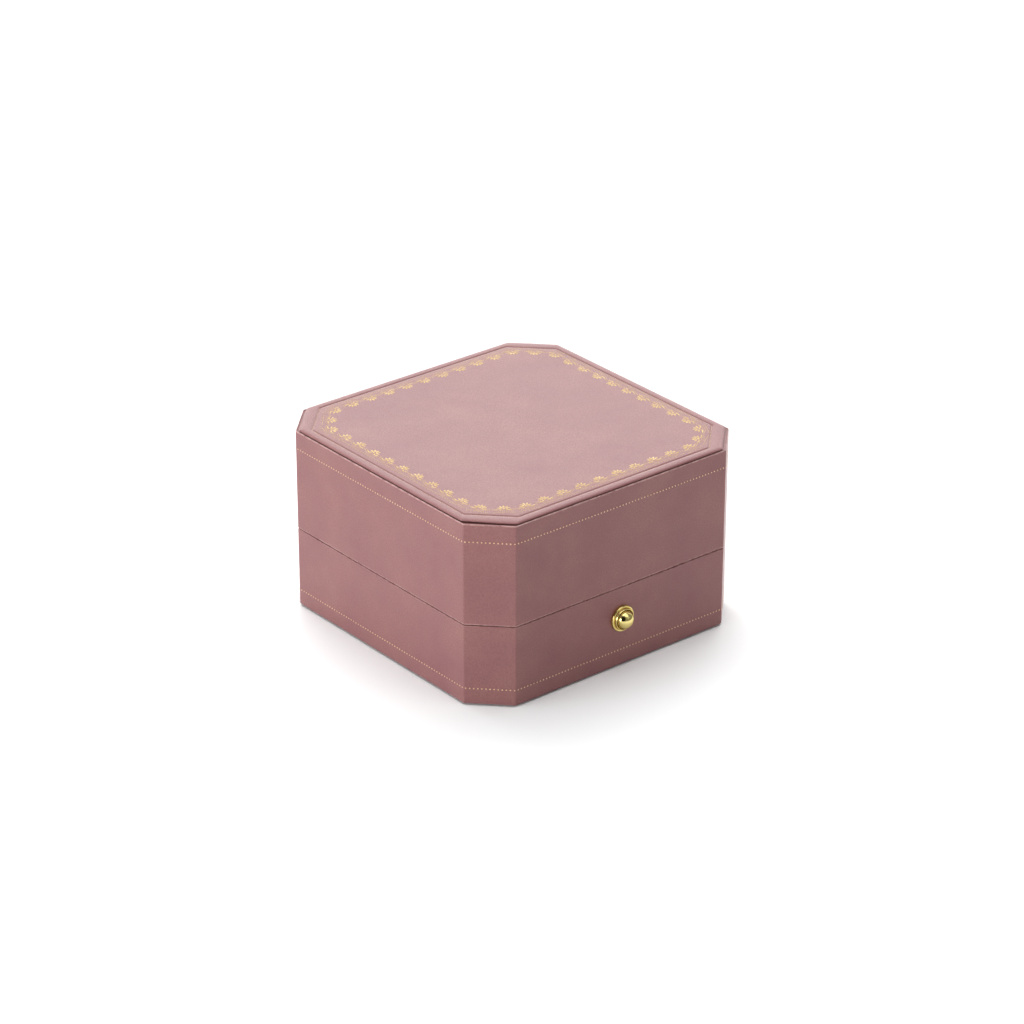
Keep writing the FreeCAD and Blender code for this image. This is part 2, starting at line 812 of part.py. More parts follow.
def export(pieces):
    os.makedirs("parts", exist_ok=True)
    for piece in pieces:
        shape = piece.Shape
        if shape.isNull() or not shape.isValid() or not shape.Solids:
            raise ValueError(f"{piece.Label} has no valid solid")
        shape.exportStep(f"parts/{piece.Label}.step")
        print(f"{piece.Label}: {len(shape.Solids)} solid(s), {shape.Volume:.1f} mm3")


def main():
    fill_sheet()
    base_screws, base_screw_holes = screw_set("hinge_base_screws", laid_along_y, hinge_screw_spots(-1))
    lid_screws, lid_screw_holes = screw_set("hinge_lid_screws", laid_along_y, hinge_screw_spots(1))
    floor_screws, floor_holes = screw_set("latch_bracket_screws", pointing_down, bracket_screw_spots())
    front_screws, front_holes = screw_set("keeper_screws", laid_along_minus_y, keeper_screw_spots())
    middle_gap = "cushion_gap / 2"
    reach = "well_depth / 2 - cushion_gap"
    pieces = [
        base_shell(fuse("base_screw_holes", [base_screw_holes, floor_holes])),
        base_wrap(),
        base_underside_panel(),
        display_tray(),
        cushion_board(),
        ring_cushion("cushion_front", f"-({reach})", f"-{middle_gap}"),
        ring_cushion("cushion_rear", middle_gap, reach),
        button_ferrule(),
        push_button(),
        button_clip(),
        latch_hook(),
        latch_pin(),
        latch_bracket(floor_holes),
        floor_screws,
        latch_spring(),
        hinge_leaf("hinge_base_leaf", -1, (0, 2, 4), base_screw_holes),
        hinge_leaf("hinge_lid_leaf", 1, (1, 3), lid_screw_holes),
        hinge_pin(),
        base_screws,
        lid_screws,
        lid_shell(fuse("lid_screw_holes", [lid_screw_holes, front_holes])),
        lid_wrap(),
        top_padding(),
        top_panel(),
        lid_liner(),
        lid_pad_board(),
        lid_satin_pad(),
        keeper_plate(front_holes),
        front_screws,
    ]
    document.recompute()
    check_document()
    export(pieces)


main()
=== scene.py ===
import json
import math

import bmesh
import bpy
from mathutils import Matrix, Quaternion, Vector, noise


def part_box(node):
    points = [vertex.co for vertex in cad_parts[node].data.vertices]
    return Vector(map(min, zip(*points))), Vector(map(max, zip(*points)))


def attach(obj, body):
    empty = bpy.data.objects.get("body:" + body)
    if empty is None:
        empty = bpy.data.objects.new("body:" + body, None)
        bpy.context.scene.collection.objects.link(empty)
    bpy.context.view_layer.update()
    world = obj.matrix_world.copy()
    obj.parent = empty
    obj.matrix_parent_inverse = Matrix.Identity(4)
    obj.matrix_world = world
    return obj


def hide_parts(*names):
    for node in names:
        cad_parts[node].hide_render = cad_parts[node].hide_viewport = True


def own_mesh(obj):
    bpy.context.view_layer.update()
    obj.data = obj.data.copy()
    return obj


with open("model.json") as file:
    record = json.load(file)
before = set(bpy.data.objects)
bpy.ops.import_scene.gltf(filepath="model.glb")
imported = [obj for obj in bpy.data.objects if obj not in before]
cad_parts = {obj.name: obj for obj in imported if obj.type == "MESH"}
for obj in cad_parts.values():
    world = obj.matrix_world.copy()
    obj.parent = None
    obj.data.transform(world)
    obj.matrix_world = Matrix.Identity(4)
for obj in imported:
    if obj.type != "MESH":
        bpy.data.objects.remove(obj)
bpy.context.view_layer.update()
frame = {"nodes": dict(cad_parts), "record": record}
mm = 0.001

# The whole box, read from the frame. Its plan is a square with the corners cut.
baseLow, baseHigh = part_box("base_wrap")
lidLow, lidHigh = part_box("lid_wrap")
panelLow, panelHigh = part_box("top_panel")
trayLow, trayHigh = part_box("display_tray")
linerLow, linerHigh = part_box("lid_liner")
shellLow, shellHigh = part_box("base_shell")
joints = {joint["name"]: joint for joint in frame["record"]["behaviour"]["joints"]}
hingePlace = Vector(joints["lid_hinge"]["pos_m"])
opening = math.radians(joints["lid_hinge"]["range_deg"][1])
seam = hingePlace.z
plan = {
    "halfWidth": baseHigh.x,
    "halfDepth": baseHigh.y,
    "cornerCut": 9.5 * mm,
    "cornerRadius": 0.8 * mm,
    "wrap": baseHigh.x - shellHigh.x,
    "wallInset": baseHigh.x - linerHigh.x,
    "bevel": opening / 2 + math.radians(0.5),
}


def linear(value):
    value /= 255
    return value / 12.92 if value <= 0.04045 else ((value + 0.055) / 1.055) ** 2.4


def colour(red, green, blue):
    return (linear(red), linear(green), linear(blue), 1)


# Meshes
def octagonRing(inset, height, radius=None, longSteps=72, shortSteps=12, arcSteps=5, extraCut=0.0):
    radius = plan["cornerRadius"] if radius is None else radius
    x = plan["halfWidth"] - inset
    y = plan["halfDepth"] - inset
    cut = plan["cornerCut"] - (2 - math.sqrt(2)) * inset + extraCut
    corners = [(cut - x, -y), (x - cut, -y), (x, cut - y), (x, y - cut),
               (x - cut, y), (cut - x, y), (-x, y - cut), (-x, cut - y)]
    corners = [Vector(corner) for corner in corners]
    reach = radius * math.tan(math.pi / 8)
    arcs = []
    for index, corner in enumerate(corners):
        along = (corner - corners[index - 1]).normalized()
        start = corner - along * reach
        centre = start + Vector((-along.y, along.x)) * radius
        turns = [Matrix.Rotation(math.pi / 4 * step / arcSteps, 2) for step in range(arcSteps + 1)]
        arcs.append([centre + turn @ (start - centre) for turn in turns])
    ring = []
    for index, arc in enumerate(arcs):
        ring += arc
        steps = shortSteps if index % 2 else longSteps
        following = arcs[(index + 1) % 8][0]
        ring += [arc[-1].lerp(following, step / steps) for step in range(1, steps)]
    return [Vector((point.x, point.y, height)) for point in ring]


def skin(bm, rings, closed=False):
    layers = [[bm.verts.new(point) for point in ring] for ring in rings]
    pairs = list(zip(layers, layers[1:]))
    if closed:
        pairs.append((layers[-1], layers[0]))
    for first, second in pairs:
        for index in range(len(first)):
            after = (index + 1) % len(first)
            bm.faces.new((first[index], first[after], second[after], second[index]))
    return layers


def closeWith(bm, layer, point):
    middle = bm.verts.new(point)
    for index in range(len(layer)):
        bm.faces.new((layer[index], layer[(index + 1) % len(layer)], middle))


def placed(name, bm):
    mesh = bpy.data.meshes.new(name)
    bm.to_mesh(mesh)
    bm.free()
    piece = bpy.data.objects.new(name, mesh)
    bpy.context.collection.objects.link(piece)
    return piece


# Faces that meet at more than this many degrees keep a sharp edge between them
creaseAngle = 50


def finished(name, bm, material, sharpAbove=creaseAngle):
    bmesh.ops.recalc_face_normals(bm, faces=bm.faces)
    piece = placed(name, bm)
    for face in piece.data.polygons:
        face.use_smooth = True
    piece.data.set_sharp_from_angle(angle=math.radians(sharpAbove))
    piece.data.materials.append(material)
    return piece


def applied(piece):
    evaluated = piece.evaluated_get(bpy.context.evaluated_depsgraph_get())
    mesh = bpy.data.meshes.new_from_object(evaluated)
    piece.modifiers.clear()
    old = piece.data
    piece.data = mesh
    bpy.data.meshes.remove(old)


def cutAway(piece, tools):
    for tool in tools:
        modifier = piece.modifiers.new("cut", "BOOLEAN")
        modifier.operation = "DIFFERENCE"
        modifier.solver = "EXACT"
        modifier.object = tool
    applied(piece)
    piece.data.set_sharp_from_angle(angle=math.radians(creaseAngle))
    for tool in tools:
        bpy.data.meshes.remove(tool.data)


def rodTool(centre, radius, length, axis):
    bm = bmesh.new()
    bmesh.ops.create_cone(bm, cap_ends=True, segments=64, radius1=radius, radius2=radius, depth=length)
    turn = Vector((0, 0, 1)).rotation_difference(Vector(axis)).to_matrix().to_4x4()
    bm.transform(Matrix.Translation(centre) @ turn)
    return placed("tool", bm)


def boxTool(low, high):
    bm = bmesh.new()
    bmesh.ops.create_cube(bm, size=1)
    size = Vector(high) - Vector(low)
    middle = (Vector(high) + Vector(low)) / 2
    bm.transform(Matrix.Translation(middle) @ Matrix.Diagonal((*size, 1)))
    return placed("tool", bm)


def unevenness(point, size, amount):
    return noise.noise(point / size) * amount + noise.noise(point / size * 2.7) * amount * 0.4


# Shader groups, each built once
def newGroup(name, inputs, outputs):
    group = bpy.data.node_groups.new(name, "ShaderNodeTree")
    for label, kind, value in inputs:
        socket = group.interface.new_socket(name=label, in_out="INPUT", socket_type=kind)
        if value is not None:
            socket.default_value = value
    for label, kind in outputs:
        group.interface.new_socket(name=label, in_out="OUTPUT", socket_type=kind)
    start = group.nodes.new("NodeGroupInput")
    end = group.nodes.new("NodeGroupOutput")
    return group, start, end


def addNode(tree, kind, inputs=None, **settings):
    made = tree.nodes.new(kind)
    for name, value in settings.items():
        setattr(made, name, value)
    for label, value in (inputs or {}).items():
        if isinstance(value, bpy.types.NodeSocket):
            join(tree, value, made.inputs[label])
        elif value is not None:
            made.inputs[label].default_value = value
    return made


def join(tree, source, target):
    tree.links.new(source, target)


def maths(tree, operation, first, second=None):
    return addNode(tree, "ShaderNodeMath", {0: first, 1: second}, operation=operation).outputs[0]


def spread(tree, value, low, high, newLow=0.0, newHigh=1.0):
    return addNode(tree, "ShaderNodeMapRange", {
        "Value": value, "From Min": low, "From Max": high, "To Min": newLow, "To Max": newHigh,
    }).outputs["Result"]


def noiseField(tree, coordinate, scale, detail=3.0, roughness=0.55):
    return addNode(tree, "ShaderNodeTexNoise", {
        "Vector": coordinate, "Scale": scale, "Detail": detail, "Roughness": roughness}).outputs["Fac"]


def blendColours(tree, factor, first, second):
    return addNode(tree, "ShaderNodeMix", {0: factor, 6: first, 7: second}, data_type="RGBA").outputs[2]


def makeGrain():
    group, start, end = newGroup(
        "suedeGrain",
        [("Coordinate", "NodeSocketVector", None), ("Grain", "NodeSocketFloat", 5000.0),
         ("Cloud", "NodeSocketFloat", 90.0)],
        [("Height", "NodeSocketFloat"), ("Fleck", "NodeSocketFloat"), ("Mottle", "NodeSocketFloat")])
    coordinate = start.outputs["Coordinate"]
    fine = noiseField(group, coordinate, start.outputs["Grain"], 4.0, 0.6)
    cells = addNode(group, "ShaderNodeTexVoronoi", {"Vector": coordinate, "Scale": start.outputs["Grain"]})
    height = maths(group, "ADD", fine, maths(group, "MULTIPLY", cells.outputs["Distance"], 0.5))
    join(group, height, end.inputs["Height"])
    join(group, spread(group, fine, 0.35, 0.7), end.inputs["Fleck"])
    cloud = noiseField(group, coordinate, start.outputs["Cloud"], 5.0, 0.62)
    join(group, spread(group, cloud, 0.3, 0.7), end.inputs["Mottle"])
    return group


# Lightens the leatherette at a fold's outer corner: partly rubbing wear, partly a painted highlight where the
# fold catches the light
def makeFoldWearAndHighlight():
    group, start, end = newGroup(
        "foldWearAndHighlight",
        [("Coordinate", "NodeSocketVector", None), ("Edge", "NodeSocketFloat", 0.0),
         ("Reach", "NodeSocketFloat", 0.0006), ("Half Width", "NodeSocketFloat", 0.045),
         ("Corner Cut", "NodeSocketFloat", 0.0095)],
        [("WearAndHighlight", "NodeSocketFloat")])
    apart = addNode(group, "ShaderNodeSeparateXYZ", {0: start.outputs["Coordinate"]})
    distance = maths(group, "ABSOLUTE", maths(group, "SUBTRACT", apart.outputs["Z"], start.outputs["Edge"]))
    near = maths(group, "SUBTRACT", 1.0, maths(group, "DIVIDE", distance, start.outputs["Reach"]))
    patchy = noiseField(group, start.outputs["Coordinate"], 900.0)
    near = maths(group, "MULTIPLY", maths(group, "MAXIMUM", near, 0.0), spread(group, patchy, 0.3, 0.6))
    # Only the outer corner of a fold is lightened, as rubbing wear and as a painted highlight, not the flat
    # rim behind it
    half = start.outputs["Half Width"]
    across = maths(group, "ABSOLUTE", apart.outputs["X"])
    along = maths(group, "ABSOLUTE", apart.outputs["Y"])
    corner = maths(group, "SUBTRACT", maths(group, "ADD", across, along),
                   maths(group, "SUBTRACT", half, start.outputs["Corner Cut"]))
    outermost = maths(group, "MAXIMUM", maths(group, "MAXIMUM", across, along), corner)
    outside = spread(group, maths(group, "SUBTRACT", outermost, half), -0.0006, -0.0001)
    join(group, maths(group, "MULTIPLY", near, outside), end.inputs["WearAndHighlight"])
    return group


grain = makeGrain()
foldWearAndHighlight = makeFoldWearAndHighlight()


def newMaterial(name, **values):
    material = bpy.data.materials.new(name)
    material.use_nodes = True
    tree = material.node_tree
    shader = tree.nodes["Principled BSDF"]
    for label, value in values.items():
        shader.inputs[label.replace("_", " ")].default_value = value
    place = addNode(tree, "ShaderNodeTexCoord").outputs["Object"]
    return material, tree, shader, place


def addGrain(tree, place, size, cloud):
    return addNode(tree, "ShaderNodeGroup", {"Coordinate": place, "Grain": 1 / size, "Cloud": 1 / cloud},
                   node_tree=grain).outputs


def addBump(tree, shader, height, depth, strength):
    bump = addNode(tree, "ShaderNodeBump", {"Distance": depth, "Strength": strength, "Height": height})
    join(tree, bump.outputs["Normal"], shader.inputs["Normal"])


def addSurface(tree, shader, tone, gloss, height, look):
    join(tree, tone, shader.inputs["Base Color"])
    join(tree, spread(tree, gloss, 0, 1, look["smooth"], look["rough"]), shader.inputs["Roughness"])
    addBump(tree, shader, height, look["bumpDepth"], look["bump"])


# The pale fold colour is part rubbing wear, part painted highlight
leatherette = {
    "deep": colour(134, 81, 84), "pale": colour(146, 97, 92), "fleck": colour(104, 59, 62),
    "rubbedAndHighlight": colour(206, 164, 158), "grain": 0.36 * mm, "cloud": 15 * mm, "fleckShare": 0.45,
    "wearAndHighlightShare": 0.85, "seamReach": 0.5 * mm, "topReach": 0.4 * mm, "smooth": 0.42, "rough": 0.58,
    "bumpDepth": 0.06 * mm, "bump": 0.4, "sheen": 0.5, "sheenRough": 0.28, "sheenTint": colour(255, 240, 240),
}


def makeLeatherette():
    look = leatherette
    material, tree, shader, place = newMaterial(
        "roseLeatherette", Specular_IOR_Level=0.5, Sheen_Weight=look["sheen"],
        Sheen_Roughness=look["sheenRough"], Sheen_Tint=look["sheenTint"])
    parts = addGrain(tree, place, look["grain"], look["cloud"])
    tone = blendColours(tree, parts["Mottle"], look["deep"], look["pale"])
    flecked = maths(tree, "MULTIPLY", parts["Fleck"], look["fleckShare"])
    tone = blendColours(tree, flecked, tone, look["fleck"])
    # Paler along the seam and the top edge: rubbing wear and a painted highlight together
    for edge, reach in ((lidLow.z, look["seamReach"]), (lidHigh.z, look["topReach"])):
        wearAndHighlightMask = addNode(tree, "ShaderNodeGroup", {
            "Coordinate": place, "Edge": edge, "Reach": reach, "Half Width": plan["halfWidth"],
            "Corner Cut": plan["cornerCut"]}, node_tree=foldWearAndHighlight)
        share = maths(tree, "MULTIPLY", wearAndHighlightMask.outputs["WearAndHighlight"], look["wearAndHighlightShare"])
        tone = blendColours(tree, share, tone, look["rubbedAndHighlight"])
    addSurface(tree, shader, tone, parts["Fleck"], parts["Height"], look)
    return material


# Each foil's bright and dull colours, what shows where it is thin, where wear starts, and its shine
foil = {
    "goldFoil": (colour(200, 172, 92), colour(164, 134, 70), colour(152, 114, 86), 0.3, 0.52),
    # The crease line's foil is mostly worn through to a colour darker than the leather, which also paints the
    # crease's shade
    "wornFoilAndCreaseShade": (colour(180, 144, 96), colour(146, 106, 80), colour(120, 78, 70), 0.2, 0.5),
    "paleFoil": (colour(240, 204, 160), colour(222, 180, 138), colour(206, 156, 128), 0.6, 0.25),
}
foilLook = {
    "grain": 0.16 * mm, "cloud": 1.6 * mm, "wearSpan": 0.4, "wornShine": 0.3, "smooth": 0.28, "rough": 0.5,
    "bumpDepth": 0.02 * mm, "bump": 0.3,
}


def makeFoil(name):
    bright, dull, thin, wear, shine = foil[name]
    look = foilLook
    material, tree, shader, place = newMaterial(name, Specular_IOR_Level=0.5)
    parts = addGrain(tree, place, look["grain"], look["cloud"])
    tone = blendColours(tree, parts["Mottle"], bright, dull)
    worn = spread(tree, parts["Fleck"], wear, wear + look["wearSpan"])
    join(tree, spread(tree, worn, 0, 1, shine, look["wornShine"] * shine), shader.inputs["Metallic"])
    addSurface(tree, shader, blendColours(tree, worn, tone, thin), parts["Mottle"], parts["Height"], look)
    return material


metal = {
    "stretch": (1, 1, 14), "grain": 0.35 * mm, "cloud": 4 * mm, "lines": 700.0, "lineDetail": 4.0,
    "bumpDepth": 0.01 * mm,
}


def makeMetal(name, bright, dark, smooth, rough, scratch):
    material, tree, shader, place = newMaterial(name, Metallic=1.0)
    stretched = addNode(tree, "ShaderNodeMapping", {"Scale": metal["stretch"], "Vector": place})
    parts = addGrain(tree, place, metal["grain"], metal["cloud"])
    lines = noiseField(tree, stretched.outputs["Vector"], metal["lines"], metal["lineDetail"])
    join(tree, blendColours(tree, parts["Mottle"], bright, dark), shader.inputs["Base Color"])
    join(tree, spread(tree, lines, 0.3, 0.7, smooth, rough), shader.inputs["Roughness"])
    addBump(tree, shader, lines, metal["bumpDepth"], scratch)
    return material


velvet = {
    "deep": colour(214, 196, 178), "pale": colour(240, 228, 212), "pile": 0.16 * mm, "cloud": 9 * mm,
    "fleckShare": 0.4, "smooth": 0.8, "rough": 0.95, "bumpDepth": 0.12 * mm, "bump": 0.6,
    "sheen": 0.9, "sheenRough": 0.35, "sheenTint": colour(255, 250, 240),
}


def makeVelvet():
    look = velvet
    material, tree, shader, place = newMaterial(
        "creamVelvet", Specular_IOR_Level=0.2, Sheen_Weight=look["sheen"],
        Sheen_Roughness=look["sheenRough"], Sheen_Tint=look["sheenTint"])
    parts = addGrain(tree, place, look["pile"], look["cloud"])
    tone = blendColours(tree, parts["Mottle"], look["deep"], look["pale"])
    tone = blendColours(tree, maths(tree, "MULTIPLY", parts["Fleck"], look["fleckShare"]), tone, look["deep"])
    addSurface(tree, shader, tone, parts["Fleck"], parts["Height"], look)
    return material


satin = {
    "deep": colour(222, 206, 186), "pale": colour(244, 234, 218), "grain": 0.3 * mm, "cloud": 18 * mm,
    "thread": 0.18 * mm, "waveShare": 0.3, "wander": 0.6, "smooth": 0.3, "rough": 0.45,
    "bumpDepth": 0.02 * mm, "bump": 0.4, "sheen": 0.25, "sheenRough": 0.3,
}


def makeSatin():
    look = satin
    material, tree, shader, place = newMaterial(
        "creamSatin", Specular_IOR_Level=0.6, Sheen_Weight=look["sheen"], Sheen_Roughness=look["sheenRough"])
    parts = addGrain(tree, place, look["grain"], look["cloud"])
    threads = addNode(tree, "ShaderNodeTexWave", {
        "Scale": look["waveShare"] / look["thread"], "Distortion": look["wander"], "Vector": place,
    }, wave_type="BANDS", bands_direction="X")
    tone = blendColours(tree, parts["Mottle"], look["deep"], look["pale"])
    addSurface(tree, shader, tone, threads.outputs["Fac"], threads.outputs["Fac"], look)
    return material


plain = {"cloudShare": 40, "fleckShare": 0.3}


def makePlain(name, deep, pale, size, low, high, depth=0.05 * mm, strength=0.4, **values):
    material, tree, shader, place = newMaterial(name, **values)
    parts = addGrain(tree, place, size, plain["cloudShare"] * size)
    tone = blendColours(tree, parts["Mottle"], deep, pale)
    tone = blendColours(tree, maths(tree, "MULTIPLY", parts["Fleck"], plain["fleckShare"]), tone, deep)
    addSurface(tree, shader, tone, parts["Fleck"], parts["Height"],
               {"smooth": low, "rough": high, "bumpDepth": depth, "bump": strength})
    return material


finishes = {
    "leatherette": makeLeatherette(),
    "foil": makeFoil("goldFoil"),
    "wornFoilAndCreaseShade": makeFoil("wornFoilAndCreaseShade"),
    "paleFoil": makeFoil("paleFoil"),
    "gold": makeMetal("polishedGold", colour(230, 214, 144), colour(216, 194, 120), 0.05, 0.12, 0.02),
    "brass": makeMetal("platedBrass", colour(232, 200, 124), colour(206, 168, 92), 0.2, 0.36, 0.15),
    "steel": makeMetal("springSteel", colour(200, 202, 206), colour(168, 170, 176), 0.18, 0.34, 0.15),
    "velvet": makeVelvet(),
    "satin": makeSatin(),
    "shell": makePlain("roseShell", colour(150, 104, 100), colour(170, 122, 118), 0.3 * mm, 0.5, 0.65),
    "flock": makePlain("roseFlock", colour(104, 66, 66), colour(134, 90, 88), 0.2 * mm, 0.8, 0.95,
                       0.15 * mm, 0.7, Sheen_Weight=0.7, Sheen_Roughness=0.4),
    "board": makePlain("greyBoard", colour(150, 140, 126), colour(176, 166, 150), 0.25 * mm, 0.8, 0.95),
    "foam": makePlain("whiteFoam", colour(214, 210, 200), colour(236, 232, 224), 0.5 * mm, 0.85, 0.95,
                      0.2 * mm, 0.8),
}
print("materials made")


# Covering of the walls: a folded skin, which follows the rear bevel
wrapping = {
    "turnIn": 8.6 * mm, "topFold": 0.22 * mm, "bottomFold": 0.35 * mm, "rimFold": 0.3 * mm,
    "tuck": 0.24 * mm, "tuckLand": 3 * mm, "tuckStart": 0.16 * mm, "tuckEdge": 0.05 * mm, "tuckShare": 0.4,
    "rimLoops": (0.9 * mm, 1.4 * mm), "rimLast": 2.5 * mm, "bevelGap": 0.08 * mm, "leastRadius": 0.1 * mm,
    "wallLoops": 26, "waver": 0.03 * mm, "waverSize": 8 * mm,
}


def quarter(radius, steps=6):
    return [(math.sin(math.pi / 2 * step / steps) * radius, math.cos(math.pi / 2 * step / steps) * radius)
            for step in range(steps + 1)]


def wrapOutline(height, fold, tuck):
    thick = plan["wrap"]
    rim = wrapping["rimFold"]
    wall = plan["wallInset"]
    hingeInset = plan["halfDepth"] - hingePlace.y
    outline = [(wrapping["turnIn"], tuck), (wrapping["tuckLand"], tuck), (fold + wrapping["tuckStart"], tuck),
               (fold + wrapping["tuckEdge"], wrapping["tuckShare"] * tuck)]
    outline += [(fold - across, fold - down) for across, down in quarter(fold)]
    loops = wrapping["wallLoops"]
    tall = height - rim - fold
    outline += [(0, fold + tall * step / loops) for step in range(1, loops)]
    outline += [(rim - down, height - rim + across) for across, down in quarter(rim)]
    outline += [(inset, height) for inset in (*wrapping["rimLoops"], hingeInset, wrapping["rimLast"], wall)]
    outline += [(wall, height - thick), (thick, height - thick), (thick, thick), (wrapping["turnIn"], thick)]
    return outline


def makeWrap(name, node, far, rim, fold, tuck):
    height = abs(rim - far)
    sign = 1 if rim > far else -1
    rings = []
    for inset, rise in wrapOutline(height, fold, tuck):
        radius = max(plan["cornerRadius"] - inset, wrapping["leastRadius"])
        ring = octagonRing(inset, 0, radius)
        for point in ring:
            bevelled = abs(seam - far) - wrapping["bevelGap"]
            bevelled -= (point.y - hingePlace.y) * math.tan(plan["bevel"])
            point.z = far + sign * rise * min(height, bevelled) / height
        rings.append(ring)
    bm = bmesh.new()
    skin(bm, rings, closed=True)
    bmesh.ops.recalc_face_normals(bm, faces=bm.faces)
    for vert in bm.verts:
        vert.co += vert.normal * unevenness(vert.co, wrapping["waverSize"], wrapping["waver"])
    piece = finished(name, bm, finishes["leatherette"])
    leafLow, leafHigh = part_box("hinge_base_leaf")
    channel = rodTool(hingePlace, hingeRoom["channel"], leafHigh.x - leafLow.x + hingeRoom["ends"], (1, 0, 0))
    recess = boxTool((leafLow.x, leafLow.y - hingeRoom["past"], seam - hingeRoom["tall"]),
                     (leafHigh.x, leafLow.y + hingeRoom["leaf"], seam + hingeRoom["tall"]))
    tools = [channel, recess]
    if node == "base_wrap":
        low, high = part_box("button_ferrule")
        middle = (low + high) / 2
        tools.append(rodTool(Vector((0, baseLow.y, middle.z)), ferrule["body"], ferrule["hole"], (0, 1, 0)))
    cutAway(piece, tools)
    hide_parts(node)
    return piece


hingeRoom = {"channel": 1.53 * mm, "ends": 0.6 * mm, "leaf": 0.6 * mm, "past": 1 * mm, "tall": 3 * mm}
ferrule = {"body": 3.2 * mm, "flange": 3.65 * mm, "ring": 3.25 * mm, "cup": 2.75 * mm, "step": 0.9 * mm,
           "rise": 1.6 * mm, "cupDepth": 1.2 * mm, "bore": 1.55 * mm, "bead": 0.3 * mm, "valley": 0.62 * mm,
           "slope": (0.1 * mm, 0.02 * mm), "cupEdge": 0.6, "cupTurn": 0.8, "hole": 8 * mm}

baseWrap = makeWrap("baseWrap", "base_wrap", baseLow.z, baseHigh.z, wrapping["bottomFold"], 0)
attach(baseWrap, "base")
lidWrap = makeWrap("lidWrap", "lid_wrap", lidHigh.z, lidLow.z, wrapping["topFold"], wrapping["tuck"])
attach(lidWrap, "lid")
print("covering made")


# Padded top, with a creased line near its edge and one corner drawn in a little
topPad = {
    "edge": 0.5 * mm, "crease": 3.0 * mm, "creaseDepth": 0.2 * mm, "creaseCut": 2.2 * mm, "edgeCut": 0.3 * mm,
    "field": 0.04 * mm, "drawn": 0.5 * mm, "lifted": 0.3 * mm, "drawnReach": 9 * mm,
    "drawnShort": 1.2 * mm, "drawnDeep": 2.6 * mm, "drawnBelow": 0.25 * mm,
    "wave": 0.05 * mm, "waveSize": 16 * mm, "crownSteps": 16, "inner": 12 * mm,
    "roll": ((0.2, 0.02), (0, 0.14), (0.01, 0.26), (0.1, 0.38), (0.28, 0.5)),
}


def topHeights():
    top = panelHigh.z
    low = panelLow.z
    edge = topPad["edge"]
    crease = topPad["crease"]
    field = top - topPad["field"]
    valley = field - topPad["creaseDepth"]
    roll = [(edge + across * mm, low + rise * mm) for across, rise in topPad["roll"]]
    return [
        (topPad["inner"], low), (1.4 * mm, low), *roll, (edge + 0.6 * mm, top - 0.05 * mm), (1.5 * mm, top),
        (2.1 * mm, top), (2.6 * mm, top - 0.03 * mm), (crease - 0.25 * mm, field - 0.04 * mm),
        (crease - 0.1 * mm, valley), (crease + 0.1 * mm, valley), (crease + 0.25 * mm, field - 0.03 * mm),
        (crease + 0.6 * mm, field), (6 * mm, field), (9 * mm, field), (topPad["inner"], field)]


def drawIn(point):
    x, y, cut = plan["halfWidth"], plan["halfDepth"], plan["cornerCut"]
    corner = Vector((-x, cut - y, 0))
    along = (point - corner).dot(Vector((1, -1, 0)).normalized())
    depth = -(point - corner).dot(Vector((-1, -1, 0)).normalized())
    reach = topPad["drawnReach"] if along > 0 else topPad["drawnShort"]
    near = max(0.0, 1 - abs(along) / reach) * max(0.0, 1 - max(depth, 0.0) / topPad["drawnDeep"])
    point.xy += Vector((1, 1)).normalized() * topPad["drawn"] * near
    low = max(0.0, panelHigh.z - topPad["drawnBelow"] - point.z) / (panelHigh.z - panelLow.z)
    point.z += topPad["lifted"] * near * low


def topCut(inset):
    return topPad["edgeCut"] + (topPad["creaseCut"] - topPad["edgeCut"]) * min(1.0, inset / topPad["crease"])


def makeTopPanel():
    bm = bmesh.new()
    rings = []
    for inset, height in topHeights():
        ring = octagonRing(inset, height, max(1.1 * mm - 0.2 * inset, 0.5 * mm), extraCut=topCut(inset))
        for point in ring:
            drawIn(point)
        rings.append(ring)
    inner = rings[-1]
    crown = panelHigh.z
    for step in range(1, topPad["crownSteps"]):
        share = 1 - step / topPad["crownSteps"]
        lift = (crown - inner[0].z) * math.sin(math.pi / 2 * min(1.0, (1 - share) * 2))
        ring = [Vector((point.x * share, point.y * share, point.z + lift)) for point in inner]
        for point in ring:
            wave = unevenness(point, topPad["waveSize"], topPad["wave"])
            point.z += (wave - 0.5 * topPad["wave"]) * min(1.0, (1 - share) * 4)
        rings.append(ring)
    layers = skin(bm, rings)
    closeWith(bm, layers[-1], Vector((0, 0, crown)))
    closeWith(bm, layers[0], Vector((0, 0, panelLow.z)))
    piece = finished("topPanel", bm, finishes["leatherette"])
    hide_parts("top_panel")
    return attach(piece, "lid")


topPanel = makeTopPanel()


# Stamped gold: a line in the crease, a row of dots round each half, and a garland on the top
stamping = {
    "lineWidth": 0.16 * mm, "lineRise": 0.03 * mm, "dotPitch": 1.05 * mm, "dotRadius": 0.2 * mm,
    "dotRise": 0.1 * mm, "dotDrop": 5 * mm, "garlandInset": 6.5 * mm, "garlandPitch": 6.1 * mm,
    "garlandStart": -21 * mm, "garlandRadius": 5 * mm, "garlandCut": 2.2 * mm, "garlandShift": 0.6 * mm,
    "foilRise": 0.05 * mm,
}


